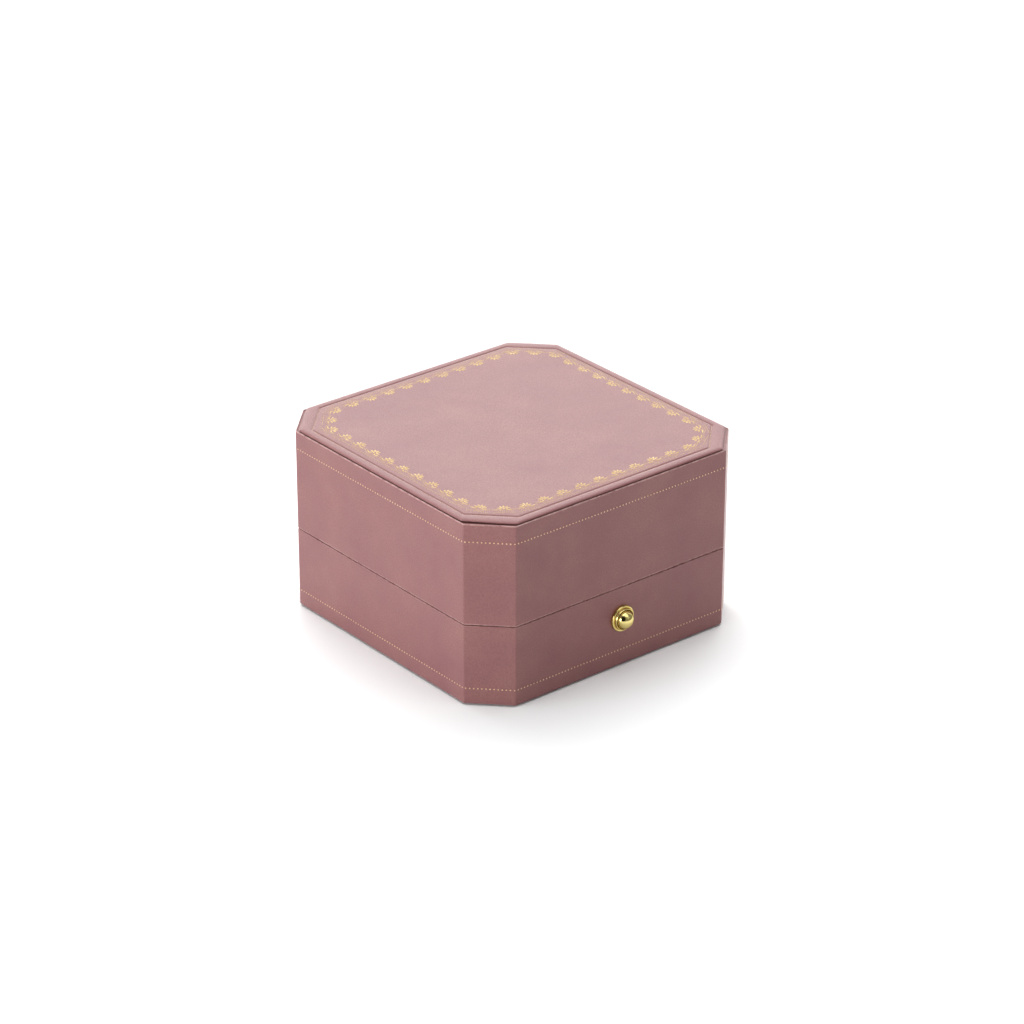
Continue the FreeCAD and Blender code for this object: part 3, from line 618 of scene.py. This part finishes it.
def makeToolLine():
    inset = topPad["crease"]
    half = stamping["lineWidth"] / 2
    floor = panelHigh.z - topPad["field"] - topPad["creaseDepth"]
    section = [(inset - half, floor - 0.05 * mm), (inset - half, floor + 0.6 * stamping["lineRise"]),
               (inset, floor + stamping["lineRise"]), (inset + half, floor + 0.6 * stamping["lineRise"]),
               (inset + half, floor - 0.05 * mm)]
    bm = bmesh.new()
    rings = [octagonRing(at, height, 0.5 * mm, extraCut=topPad["creaseCut"]) for at, height in section]
    for ring in rings:
        for point in ring:
            drawIn(point)
    skin(bm, rings, closed=True)
    # Its dark worn colour is partly worn foil, partly painted shade in the crease
    piece = finished("toolLine", bm, finishes["wornFoilAndCreaseShade"])
    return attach(piece, "lid")


def newTree(name, inputs):
    tree = bpy.data.node_groups.new(name, "GeometryNodeTree")
    tree.interface.new_socket(name="Geometry", in_out="INPUT", socket_type="NodeSocketGeometry")
    for label, kind in inputs:
        tree.interface.new_socket(name=label, in_out="INPUT", socket_type=kind)
    tree.interface.new_socket(name="Geometry", in_out="OUTPUT", socket_type="NodeSocketGeometry")
    return tree, addNode(tree, "NodeGroupInput").outputs, addNode(tree, "NodeGroupOutput").inputs


def alongPath(tree, start, pitch):
    line = addNode(tree, "GeometryNodeMeshToCurve", {"Mesh": start["Geometry"]}).outputs[0]
    length = addNode(tree, "GeometryNodeCurveLength", {0: line}).outputs[0]
    count = maths(tree, "ROUND", maths(tree, "DIVIDE", length, pitch))
    return addNode(tree, "GeometryNodeResampleCurve", {"Curve": line, "Count": count}).outputs[0]


def endTree(tree, spots, material, out):
    real = addNode(tree, "GeometryNodeRealizeInstances", {0: spots.outputs[0]}).outputs[0]
    smooth = addNode(tree, "GeometryNodeSetShadeSmooth", {0: real}).outputs[0]
    paint = addNode(tree, "GeometryNodeSetMaterial", {"Geometry": smooth, "Material": material})
    join(tree, paint.outputs[0], out["Geometry"])


def dotTree():
    tree, start, out = newTree("dotRow", [
        ("Pitch", "NodeSocketFloat"), ("Radius", "NodeSocketFloat"), ("Rise", "NodeSocketFloat"),
        ("Material", "NodeSocketMaterial")])
    points = alongPath(tree, start, start["Pitch"])
    tangent = addNode(tree, "GeometryNodeInputTangent").outputs[0]
    outward = addNode(tree, "ShaderNodeVectorMath", {0: tangent, 1: (0, 0, 1)}, operation="CROSS_PRODUCT")
    turn = addNode(tree, "FunctionNodeAlignRotationToVector", {"Vector": outward.outputs[0]}, axis="Z")
    dome = addNode(tree, "GeometryNodeMeshUVSphere", {"Segments": 8, "Rings": 5, "Radius": 1})
    size = addNode(tree, "ShaderNodeCombineXYZ", {
        "X": start["Radius"], "Y": start["Radius"], "Z": start["Rise"]})
    endTree(tree, addNode(tree, "GeometryNodeInstanceOnPoints", {
        "Points": points, "Instance": dome.outputs["Mesh"], "Rotation": turn.outputs[0],
        "Scale": size.outputs[0]}), start["Material"], out)
    return tree


def garlandTree():
    tree, start, out = newTree("garland", [
        ("Pitch", "NodeSocketFloat"), ("Floret", "NodeSocketObject"), ("Material", "NodeSocketMaterial")])
    points = alongPath(tree, start, start["Pitch"])
    tangent = addNode(tree, "GeometryNodeInputTangent").outputs[0]
    turn = addNode(tree, "FunctionNodeAlignRotationToVector", {"Vector": tangent}, axis="X", pivot_axis="Z")
    motif = addNode(tree, "GeometryNodeObjectInfo", {"Object": start["Floret"]})
    endTree(tree, addNode(tree, "GeometryNodeInstanceOnPoints", {
        "Points": points, "Instance": motif.outputs["Geometry"], "Rotation": turn.outputs[0],
    }), start["Material"], out)
    return tree


def grow(name, ring, tree, values, body):
    bm = bmesh.new()
    verts = [bm.verts.new(point) for point in ring]
    for index, vert in enumerate(verts):
        bm.edges.new((vert, verts[(index + 1) % len(verts)]))
    piece = placed(name, bm)
    modifier = piece.modifiers.new(tree.name, "NODES")
    modifier.node_group = tree
    sockets = {item.name: item.identifier for item in tree.interface.items_tree if item.in_out == "INPUT"}
    for label, value in values.items():
        modifier[sockets[label]] = value
    applied(piece)
    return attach(piece, body)


floret = {
    "petals": 5, "petalLong": 0.68 * mm, "petalWide": 0.27 * mm, "petalOut": 1.2 * mm,
    "boss": 0.36 * mm, "leafLong": 0.55 * mm, "leafWide": 0.2 * mm, "leaves": ((0.95, -0.5), (1.75, 0.35)),
    "beadRadius": 0.14 * mm, "beadPitch": 0.44 * mm, "swags": ((-0.9, 0.2), (-1.45, -0.35), (-2.0, -2.0)),
    "hem": -2.55 * mm,
}


def addDome(bm, x, y, long, wide, turn, rise, segments=10, rings=3):
    spin = Matrix.Rotation(turn, 2)
    layers = []
    for ring in range(rings):
        angle = math.pi / 2 * ring / rings
        layer = []
        for segment in range(segments):
            around = 2 * math.pi * segment / segments
            flat = spin @ Vector((math.cos(around) * long, math.sin(around) * wide)) * math.cos(angle)
            layer.append((x + flat.x, y + flat.y, rise * math.sin(angle)))
        layers.append([Vector(point) for point in layer])
    made = skin(bm, layers)
    closeWith(bm, made[-1], Vector((x, y, rise)))
    closeWith(bm, made[0], Vector((x, y, -0.3 * rise)))


def makeFloret():
    bm = bmesh.new()
    rise = stamping["foilRise"]
    petals = floret["petals"]
    for index in range(petals):
        angle = math.pi * (index + 0.5) / petals
        addDome(bm, math.cos(angle) * floret["petalOut"], math.sin(angle) * floret["petalOut"],
                floret["petalLong"], floret["petalWide"], angle, rise)
    addDome(bm, 0, 0, floret["boss"], floret["boss"], 0, 1.4 * rise)
    for side in (-1, 1):
        for reach, lean in floret["leaves"]:
            angle = lean if side > 0 else math.pi - lean
            addDome(bm, side * reach * mm, -0.45 * mm, floret["leafLong"], floret["leafWide"], angle, rise, 8)
    half = stamping["garlandPitch"] / 2
    count = int(2 * half / floret["beadPitch"])
    bead = floret["beadRadius"]
    for high, low in floret["swags"]:
        for step in range(count):
            x = -half + 2 * half * (step + 0.5) / count
            y = (high + (low - high) * (x / half) ** 2) * mm
            addDome(bm, x, y, bead, bead, 0, 0.8 * rise, 6, 2)
    for step in range(count // 2):
        x = -half + 2 * half * (step + 0.5) / (count // 2)
        addDome(bm, x, floret["hem"], 0.8 * bead, 0.8 * bead, 0, 0.7 * rise, 6, 2)
    return finished("floret", bm, finishes["foil"])


def makeStamping():
    makeToolLine()
    dots = dotTree()
    values = {"Pitch": stamping["dotPitch"], "Radius": stamping["dotRadius"], "Rise": stamping["dotRise"],
              "Material": finishes["paleFoil"]}
    for name, height, body in (("lidDots", lidHigh.z - stamping["dotDrop"], "lid"),
                               ("baseDots", stamping["dotDrop"], "base")):
        grow(name, octagonRing(0, height), dots, values, body)
    motif = makeFloret()
    height = panelHigh.z - topPad["field"]
    ring = octagonRing(stamping["garlandInset"], height, stamping["garlandRadius"],
                       extraCut=stamping["garlandCut"])
    for point in ring:
        point.x += stamping["garlandShift"]
    first = min(range(len(ring)), key=lambda index: (ring[index] - Vector(
        (stamping["garlandStart"], stamping["garlandInset"] - plan["halfDepth"], height))).length)
    ring = ring[first:] + ring[:first]
    grow("garland", ring, garlandTree(),
         {"Pitch": stamping["garlandPitch"], "Floret": motif, "Material": finishes["foil"]}, "lid")
    bpy.data.meshes.remove(motif.data)


makeStamping()
print("stamping made")


# Button and its flange, turned about their axis
def turned(name, profile, centre, material, segments=72, sharpAbove=35):
    bm = bmesh.new()
    rings = []
    for radius, depth in profile:
        ring = []
        for step in range(segments):
            angle = 2 * math.pi * step / segments
            ring.append(centre + Vector((math.cos(angle) * radius, depth, math.sin(angle) * radius)))
        rings.append(ring)
    layers = skin(bm, rings)
    for layer, (radius, depth) in ((layers[0], profile[0]), (layers[-1], profile[-1])):
        if radius < 0.05 * mm:
            closeWith(bm, layer, centre + Vector((0, depth, 0)))
    if profile[0] == profile[-1]:
        bmesh.ops.remove_doubles(bm, verts=bm.verts, dist=1e-7)
    return finished(name, bm, material, sharpAbove)


plunger = {
    "neck": 1.3 * mm, "shaft": 1.5 * mm, "waist": 1.1 * mm, "tail": 0.8 * mm, "tip": 0.02 * mm,
    "neckEnd": -0.05 * mm, "shaftStart": 0.1 * mm, "groove": 3.4 * mm, "grooveEnd": 0.5 * mm,
    "land": 1.1 * mm, "backAngle": 15, "ballSteps": 24, "tailSteps": 5,
}


def makeButton():
    low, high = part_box("push_button")
    centre = Vector((0, baseLow.y, (low.z + high.z) / 2))
    ball = (high.x - low.x) / 2
    middle = low.y - baseLow.y + ball
    neck, shaft, waist, tail = (plunger[part] for part in ("neck", "shaft", "waist", "tail"))
    groove = plunger["groove"]
    grooveEnd = groove + plunger["grooveEnd"]
    land = groove + plunger["land"]
    profile = [(plunger["tip"], middle - ball)]
    for step in range(1, plunger["ballSteps"] + 1):
        angle = math.radians(90 + plunger["backAngle"]) * step / plunger["ballSteps"]
        profile.append((math.sin(angle) * ball, middle - math.cos(angle) * ball))
    profile += [(neck, profile[-1][1]), (neck, plunger["neckEnd"]), (shaft, plunger["shaftStart"]),
                (shaft, groove), (waist, groove), (waist, grooveEnd), (shaft, grooveEnd), (shaft, land),
                (tail, land)]
    end = high.y - centre.y
    for step in range(plunger["tailSteps"]):
        angle = math.pi / 2 * step / plunger["tailSteps"]
        profile.append((tail * math.cos(angle), end - tail + tail * math.sin(angle)))
    profile.append((plunger["tip"], end))
    button = turned("pushButton", profile, centre, finishes["gold"])
    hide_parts("push_button")
    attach(button, "button")

    depth = plan["wallInset"]
    sizes = ferrule
    collar = (sizes["ring"] - sizes["cup"]) / 2
    bead = sizes["bead"]
    outline = []
    for step in range(8):
        angle = math.pi * sizes["cupTurn"] * step / 7
        outline.append((sizes["cup"] + sizes["cupEdge"] * collar * (1 - math.cos(angle)),
                        -sizes["rise"] + collar * (1 - math.sin(angle))))
    outline += [(sizes["ring"] - sizes["slope"][0], -sizes["step"]),
                (sizes["ring"] - sizes["slope"][1], -sizes["valley"])]
    for step in range(9):
        angle = math.pi * step / 8
        outline.append((sizes["flange"] - bead * (1 + math.cos(angle)),
                        -sizes["step"] + bead * (1 - math.sin(angle))))
    outline += [
        (sizes["flange"], 0), (sizes["body"], 0), (sizes["body"], depth), (sizes["bore"], depth),
        (sizes["bore"], sizes["cupDepth"]), (sizes["cup"], sizes["cupDepth"])]
    outline.append(outline[0])
    flange = turned("buttonFlange", outline, centre, finishes["gold"])
    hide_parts("button_ferrule")
    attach(flange, "base")


makeButton()
print("button made")


# Inside: the flocked tray, the cushions, and the lid's satin
tray = {
    "thick": 1.2 * mm, "lip": 0.55 * mm, "corner": 0.5 * mm, "wellHalf": 31 * mm, "wellRadius": 4 * mm,
    "wellLip": 0.9 * mm, "deckDrop": 0.45 * mm, "deckEdge": ((0, 0.4), (0.12, 0.12), (0.4, 0)),
    "floorShare": 0.5, "behindHook": 0.7 * mm, "besideHook": 0.3 * mm,
}


def wellRing(half, radius, height):
    ring = []
    for point in octagonRing(5 * mm, height):
        way = point.xy.normalized()
        reach = min(half / max(abs(way.x), 1e-9), half / max(abs(way.y), 1e-9))
        spot = way * reach
        if min(abs(spot.x), abs(spot.y)) > half - radius:
            centre = Vector((math.copysign(half - radius, way.x), math.copysign(half - radius, way.y)))
            along = way.dot(centre)
            spot = way * (along + math.sqrt(max(along ** 2 - centre.length_squared + radius ** 2, 0)))
        ring.append(Vector((spot.x, spot.y, height)))
    return ring


def makeTray():
    inset = plan["halfWidth"] - trayHigh.x
    thick = tray["thick"]
    top = trayHigh.z
    deck = seam - tray["deckDrop"]
    lip = tray["lip"]
    outline = [(inset, deck - thick)]
    steps = 8
    for step in range(steps + 1):
        angle = math.pi * step / steps
        outline.append((inset + thick / 2 - math.cos(angle) * thick / 2, top - lip + math.sin(angle) * lip))
    outline += [(inset + thick + across * mm, deck + rise * mm) for across, rise in tray["deckEdge"]]
    rings = [octagonRing(at, height, tray["corner"]) for at, height in outline]
    half, radius, edge = tray["wellHalf"], tray["wellRadius"], tray["wellLip"]
    for step in range(5):
        angle = math.pi / 2 * step / 4
        out = edge * (1 - math.sin(angle))
        rings.append(wellRing(half + out, radius + out, deck - edge * (1 - math.cos(angle))))
    bottom = trayLow.z
    share = tray["floorShare"]
    rings += [wellRing(half, radius, bottom + thick), wellRing(half * share, radius * share, bottom + thick)]
    bm = bmesh.new()
    under = [wellRing(half * share, radius * share, bottom), wellRing(half + thick, radius + thick, bottom),
             wellRing(half + thick, radius + thick, deck - thick)]
    layers = skin(bm, under + rings)
    closeWith(bm, layers[0], Vector((0, 0, bottom)))
    closeWith(bm, layers[-1], Vector((0, 0, bottom + thick)))
    piece = finished("displayTray", bm, finishes["velvet"])
    hookLow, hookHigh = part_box("latch_hook")
    swing = joints["latch_swing"]
    pivot = Vector(swing["pos_m"])
    swung = math.sin(math.radians(swing["range_deg"][1])) * (hookHigh.z - pivot.z)
    rear = pivot.y + tray["behindHook"] + swung
    side = (hookHigh.x - hookLow.x) / 2 + tray["besideHook"]
    cutAway(piece, [boxTool((-side, baseLow.y, deck - 2 * thick), (side, rear, top + 1 * mm))])
    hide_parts("display_tray")
    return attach(piece, "base")


# Cushions swell as cloth under pressure, worked at ten times their size, and then relax a little
softness = {"grown": 10, "voxel": 11 * mm, "pressure": 4.0, "frames": 20, "start": 0.7 * mm, "cap": 1.3 * mm}


def heldStart(low, high, outline, shrink, roundness):
    bm = bmesh.new()
    if outline is None:
        bmesh.ops.create_cube(bm, size=1)
        size = high - low - Vector((2 * shrink, 2 * shrink, shrink))
        bm.transform(Matrix.Translation((low + high) / 2) @ Matrix.Diagonal((*size, 1)))
    else:
        floor = bm.faces.new([bm.verts.new((*point, low.z + shrink)) for point in outline])
        raised = bmesh.ops.extrude_face_region(bm, geom=[floor])["geom"]
        for vert in raised:
            if isinstance(vert, bmesh.types.BMVert):
                vert.co.z = high.z
    bmesh.ops.recalc_face_normals(bm, faces=bm.faces)
    bmesh.ops.bevel(bm, geom=bm.edges[:], offset=roundness, segments=3, profile=0.6, affect="EDGES")
    return bm


def puffed(name, low, high, material, keep, roundness, outline=None):
    grown = softness["grown"]
    bm = heldStart(low, high, outline, softness["start"], roundness)
    bm.transform(Matrix.Scale(grown, 4))
    piece = finished(name, bm, material)
    remesh = piece.modifiers.new("remesh", "REMESH")
    remesh.mode = "VOXEL"
    remesh.voxel_size = softness["voxel"]
    applied(piece)
    rest = [vert.co.copy() for vert in piece.data.vertices]
    swell(piece, keep, grown)
    limit = softness["cap"] * grown
    for vert, before in zip(piece.data.vertices, rest):
        move = vert.co - before
        if move.length > limit:
            move = move.normalized() * limit
        vert.co = (before + move) / grown
    for face in piece.data.polygons:
        face.use_smooth = True
    relax = piece.modifiers.new("relax", "SMOOTH")
    relax.factor = 0.5
    relax.iterations = 4
    finer = piece.modifiers.new("finer", "SUBSURF")
    finer.levels = finer.render_levels = 1
    applied(piece)
    piece.data.materials.clear()
    piece.data.materials.append(material)
    return piece


def swell(piece, keep, grown):
    held = piece.vertex_groups.new(name="held")
    held.add([vert.index for vert in piece.data.vertices if keep(vert.co / grown)], 1.0, "REPLACE")
    cloth = piece.modifiers.new("cloth", "CLOTH")
    settings = cloth.settings
    settings.quality = 6
    settings.use_pressure = True
    settings.uniform_pressure_force = softness["pressure"]
    settings.vertex_group_mass = "held"
    settings.effector_weights.gravity = 0
    cloth.collision_settings.use_collision = False
    scene = bpy.context.scene
    for step in range(1, softness["frames"] + 1):
        scene.frame_set(step)
    applied(piece)
    scene.frame_set(1)


cushion = {"held": 1.5 * mm, "round": 3.2 * mm}


def makeCushions():
    for name, node in (("cushionFront", "cushion_front"), ("cushionRear", "cushion_rear")):
        low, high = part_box(node)
        piece = puffed(name, low, high, finishes["velvet"], lambda point: point.z < low.z + cushion["held"],
                       cushion["round"])
        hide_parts(node)
        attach(piece, "base")


satinPad = {"inset": 0.5 * mm, "held": 0.8 * mm, "round": 1.2 * mm}


def makeSatinPad():
    low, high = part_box("lid_satin_pad")
    inset = plan["halfWidth"] - high.x + satinPad["inset"]
    outline = [point.xy for point in octagonRing(inset, 0, 1e-6, 1, 1, 1)]
    corners = [outline[index] for index in range(0, len(outline), 2)]
    piece = puffed("satinPad", low, high, finishes["satin"],
                   lambda point: point.z > high.z - satinPad["held"], satinPad["round"], corners)
    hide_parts("lid_satin_pad")
    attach(piece, "lid")


liner = {"padRoom": 0.15 * mm, "keeperGap": 0.5 * mm, "outer": 0.3 * mm, "inner": 0.5 * mm, "loops": 12}


def makeLiner():
    inset = plan["wallInset"]
    thick = plan["halfWidth"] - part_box("lid_pad_board")[1].x - inset - liner["padRoom"]
    lip = thick / 2
    fold = linerLow.z + lip
    loops = liner["loops"]
    rings = [octagonRing(inset, linerHigh.z + (fold - linerHigh.z) * step / loops, liner["outer"])
             for step in range(loops + 1)]
    for step in range(1, 7):
        angle = math.pi * step / 6
        rings.append(octagonRing(inset + lip - math.cos(angle) * lip, fold - math.sin(angle) * lip,
                                 liner["inner"]))
    tall = linerHigh.z - linerLow.z - lip
    rings += [octagonRing(inset + thick, fold + tall * step / loops, liner["inner"])
              for step in range(1, loops + 1)]
    bm = bmesh.new()
    skin(bm, rings, closed=True)
    piece = finished("lidLiner", bm, finishes["satin"])
    keeperLow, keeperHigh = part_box("keeper_plate")
    gap = liner["keeperGap"]
    cutAway(piece, [boxTool((keeperLow.x - gap, lidLow.y, linerLow.z - 1 * mm),
                            (keeperHigh.x + gap, keeperHigh.y + 2 * thick, keeperHigh.z + gap))])
    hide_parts("lid_liner")
    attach(piece, "lid")


def makeUnderside():
    low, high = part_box("base_underside_panel")
    inset = plan["halfWidth"] - high.x
    section = [(12 * mm, high.z), (inset + 0.1 * mm, high.z), (inset, high.z - 0.12 * mm),
               (inset, low.z + 0.15 * mm), (inset + 0.05 * mm, low.z + 0.05 * mm), (inset + 0.2 * mm, low.z),
               (12 * mm, low.z)]
    bm = bmesh.new()
    layers = skin(bm, [octagonRing(at, height, 0.8 * mm) for at, height in section])
    closeWith(bm, layers[0], Vector((0, 0, high.z)))
    closeWith(bm, layers[-1], Vector((0, 0, low.z)))
    piece = finished("undersidePanel", bm, finishes["flock"])
    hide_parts("base_underside_panel")
    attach(piece, "base")


makeTray()
makeCushions()
makeSatinPad()
makeLiner()
makeUnderside()
print("inside made")


# The latch's return spring, a coil with closed ends
coil = {"wire": 0.2 * mm, "turns": 5, "endTurns": 1.0, "endPitch": 2.2, "perTurn": 28, "round": 8,
        "pressed": 0.6}


def makeSpring():
    low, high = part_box("latch_spring")
    wire = coil["wire"]
    radius = (high.x - low.x) / 2 - wire
    centre = (low + high) / 2
    first, last = low.y + wire, high.y - wire
    endShare = coil["endTurns"] / coil["turns"]
    endRise = coil["endTurns"] * coil["endPitch"] * wire
    steps = coil["turns"] * coil["perTurn"]
    path = []
    for step in range(steps + 1):
        share = step / steps
        angle = 2 * math.pi * coil["turns"] * share
        if share < endShare:
            depth = first + endRise * share / endShare
        elif share > 1 - endShare:
            depth = last - endRise * (1 - share) / endShare
        else:
            between = (share - endShare) / (1 - 2 * endShare)
            depth = first + endRise + between * (last - first - 2 * endRise)
        path.append(Vector((centre.x + radius * math.cos(angle), depth, centre.z + radius * math.sin(angle))))
    bm = bmesh.new()
    rings = []
    for step, point in enumerate(path):
        along = (path[min(step + 1, steps)] - path[max(step - 1, 0)]).normalized()
        outward = Vector((point.x - centre.x, 0, point.z - centre.z)).normalized()
        across = along.cross(outward).normalized()
        rings.append([point + wire * (math.cos(turn) * outward + math.sin(turn) * across)
                      for turn in (2 * math.pi * corner / coil["round"] for corner in range(coil["round"]))])
    layers = skin(bm, rings)
    closeWith(bm, layers[0], path[0])
    closeWith(bm, layers[-1], path[-1])
    spring = finished("latchCoil", bm, finishes["steel"])
    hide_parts("latch_spring")
    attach(spring, "base")
    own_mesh(spring)


makeSpring()
print("spring made")


# CAD pieces whose shape stays
nodeFinishes = {
    "base_shell": "shell", "lid_shell": "shell", "cushion_board": "board", "lid_pad_board": "board",
    "top_padding": "foam", "button_clip": "steel", "latch_pin": "steel",
    "latch_hook": "brass", "latch_bracket": "brass", "latch_bracket_screws": "brass",
    "hinge_base_leaf": "brass", "hinge_lid_leaf": "brass", "hinge_pin": "brass",
    "hinge_base_screws": "brass", "hinge_lid_screws": "brass", "keeper_plate": "brass",
    "keeper_screws": "brass",
}
for name, finish in nodeFinishes.items():
    slots = frame["nodes"][name].data.materials
    slots.clear()
    slots.append(finishes[finish])
print("hardware finished")


# Room, light and camera
# Patches of the room: direction, outer and inner cosine, brightness; lamps: name, place, size, power, tint
studio = {
    "floor": colour(250, 251, 251), "sky": 0.33, "target": (0, 0, 0.03),
    "patches": (((141, 22), 0.55, 0.98, 3.4), ((18, 64), 0.92, 0.96, 1.6), ((-54, 27), 0.86, 0.89, 0.02)),
    "lamps": (("aboveLamp", (-0.15, 0.35, 1.5), (1.5, 1.5), 13.2, (1, 1, 1)),
              ("sideLamp", (-1.35, 0.15, 0.24), (1.0, 0.7), 16.0, (0.93, 0.98, 1.0)),
              ("frontLamp", (0.5, -1.3, 1.0), (0.8, 0.8), 0.8, (1, 1, 1))),
    "lens": 130.27, "sensor": 36, "cameraPlace": (-0.56203, -0.68676, 0.46766), "azimuth": -39.293,
    "elevation": 26.372, "roll": 0.097,
}


def pointing(azimuth, elevation):
    around = math.radians(azimuth)
    above = math.radians(elevation)
    return Vector((math.sin(around) * math.cos(above), -math.cos(around) * math.cos(above), math.sin(above)))


def addLamp(name, place, size, power, tint):
    lamp = bpy.data.lights.new(name, "AREA")
    lamp.shape = "RECTANGLE"
    lamp.size, lamp.size_y = size
    lamp.energy = power
    lamp.color = tint
    holder = bpy.data.objects.new(name, lamp)
    holder.location = place
    holder.rotation_euler = (Vector(place) - Vector(studio["target"])).to_track_quat("Z", "Y").to_euler()
    bpy.context.collection.objects.link(holder)


# A pale room, with a bright wall behind the box, a glow above it and a dark spot beside the camera
def makeSky(scene):
    world = bpy.data.worlds.new("room")
    world.use_nodes = True
    tree = world.node_tree
    way = addNode(tree, "ShaderNodeTexCoord").outputs["Generated"]
    light = studio["sky"]
    for angles, low, high, value in studio["patches"]:
        near = addNode(tree, "ShaderNodeVectorMath", {0: way, 1: tuple(pointing(*angles))},
                       operation="DOT_PRODUCT")
        share = spread(tree, near.outputs["Value"], low, high)
        kept = maths(tree, "MULTIPLY", maths(tree, "SUBTRACT", 1.0, share), light)
        light = maths(tree, "ADD", kept, maths(tree, "MULTIPLY", share, value))
    background = tree.nodes["Background"]
    background.inputs["Color"].default_value = (1, 1, 1, 1)
    join(tree, light, background.inputs["Strength"])
    scene.world = world


def makeStudio():
    scene = bpy.context.scene
    scene.view_settings.view_transform = "Standard"
    makeSky(scene)
    bm = bmesh.new()
    bmesh.ops.create_grid(bm, x_segments=1, y_segments=1, size=12)
    floor = placed("floor", bm)
    floor.data.materials.append(newMaterial("paleFloor", Base_Color=studio["floor"], Roughness=0.9,
                                            Specular_IOR_Level=0.1)[0])
    for lamp in studio["lamps"]:
        addLamp(*lamp)
    camera = bpy.data.objects.new("camera", bpy.data.cameras.new("camera"))
    camera.data.lens = studio["lens"]
    camera.data.sensor_width = studio["sensor"]
    camera.data.clip_start = 0.01
    camera.location = studio["cameraPlace"]
    back = pointing(studio["azimuth"], studio["elevation"])
    tilt = Quaternion((0, 0, 1), math.radians(studio["roll"]))
    camera.rotation_euler = ((-back).to_track_quat("-Z", "Y") @ tilt).to_euler()
    bpy.context.collection.objects.link(camera)
    scene.camera = camera


makeStudio()
print("studio made")
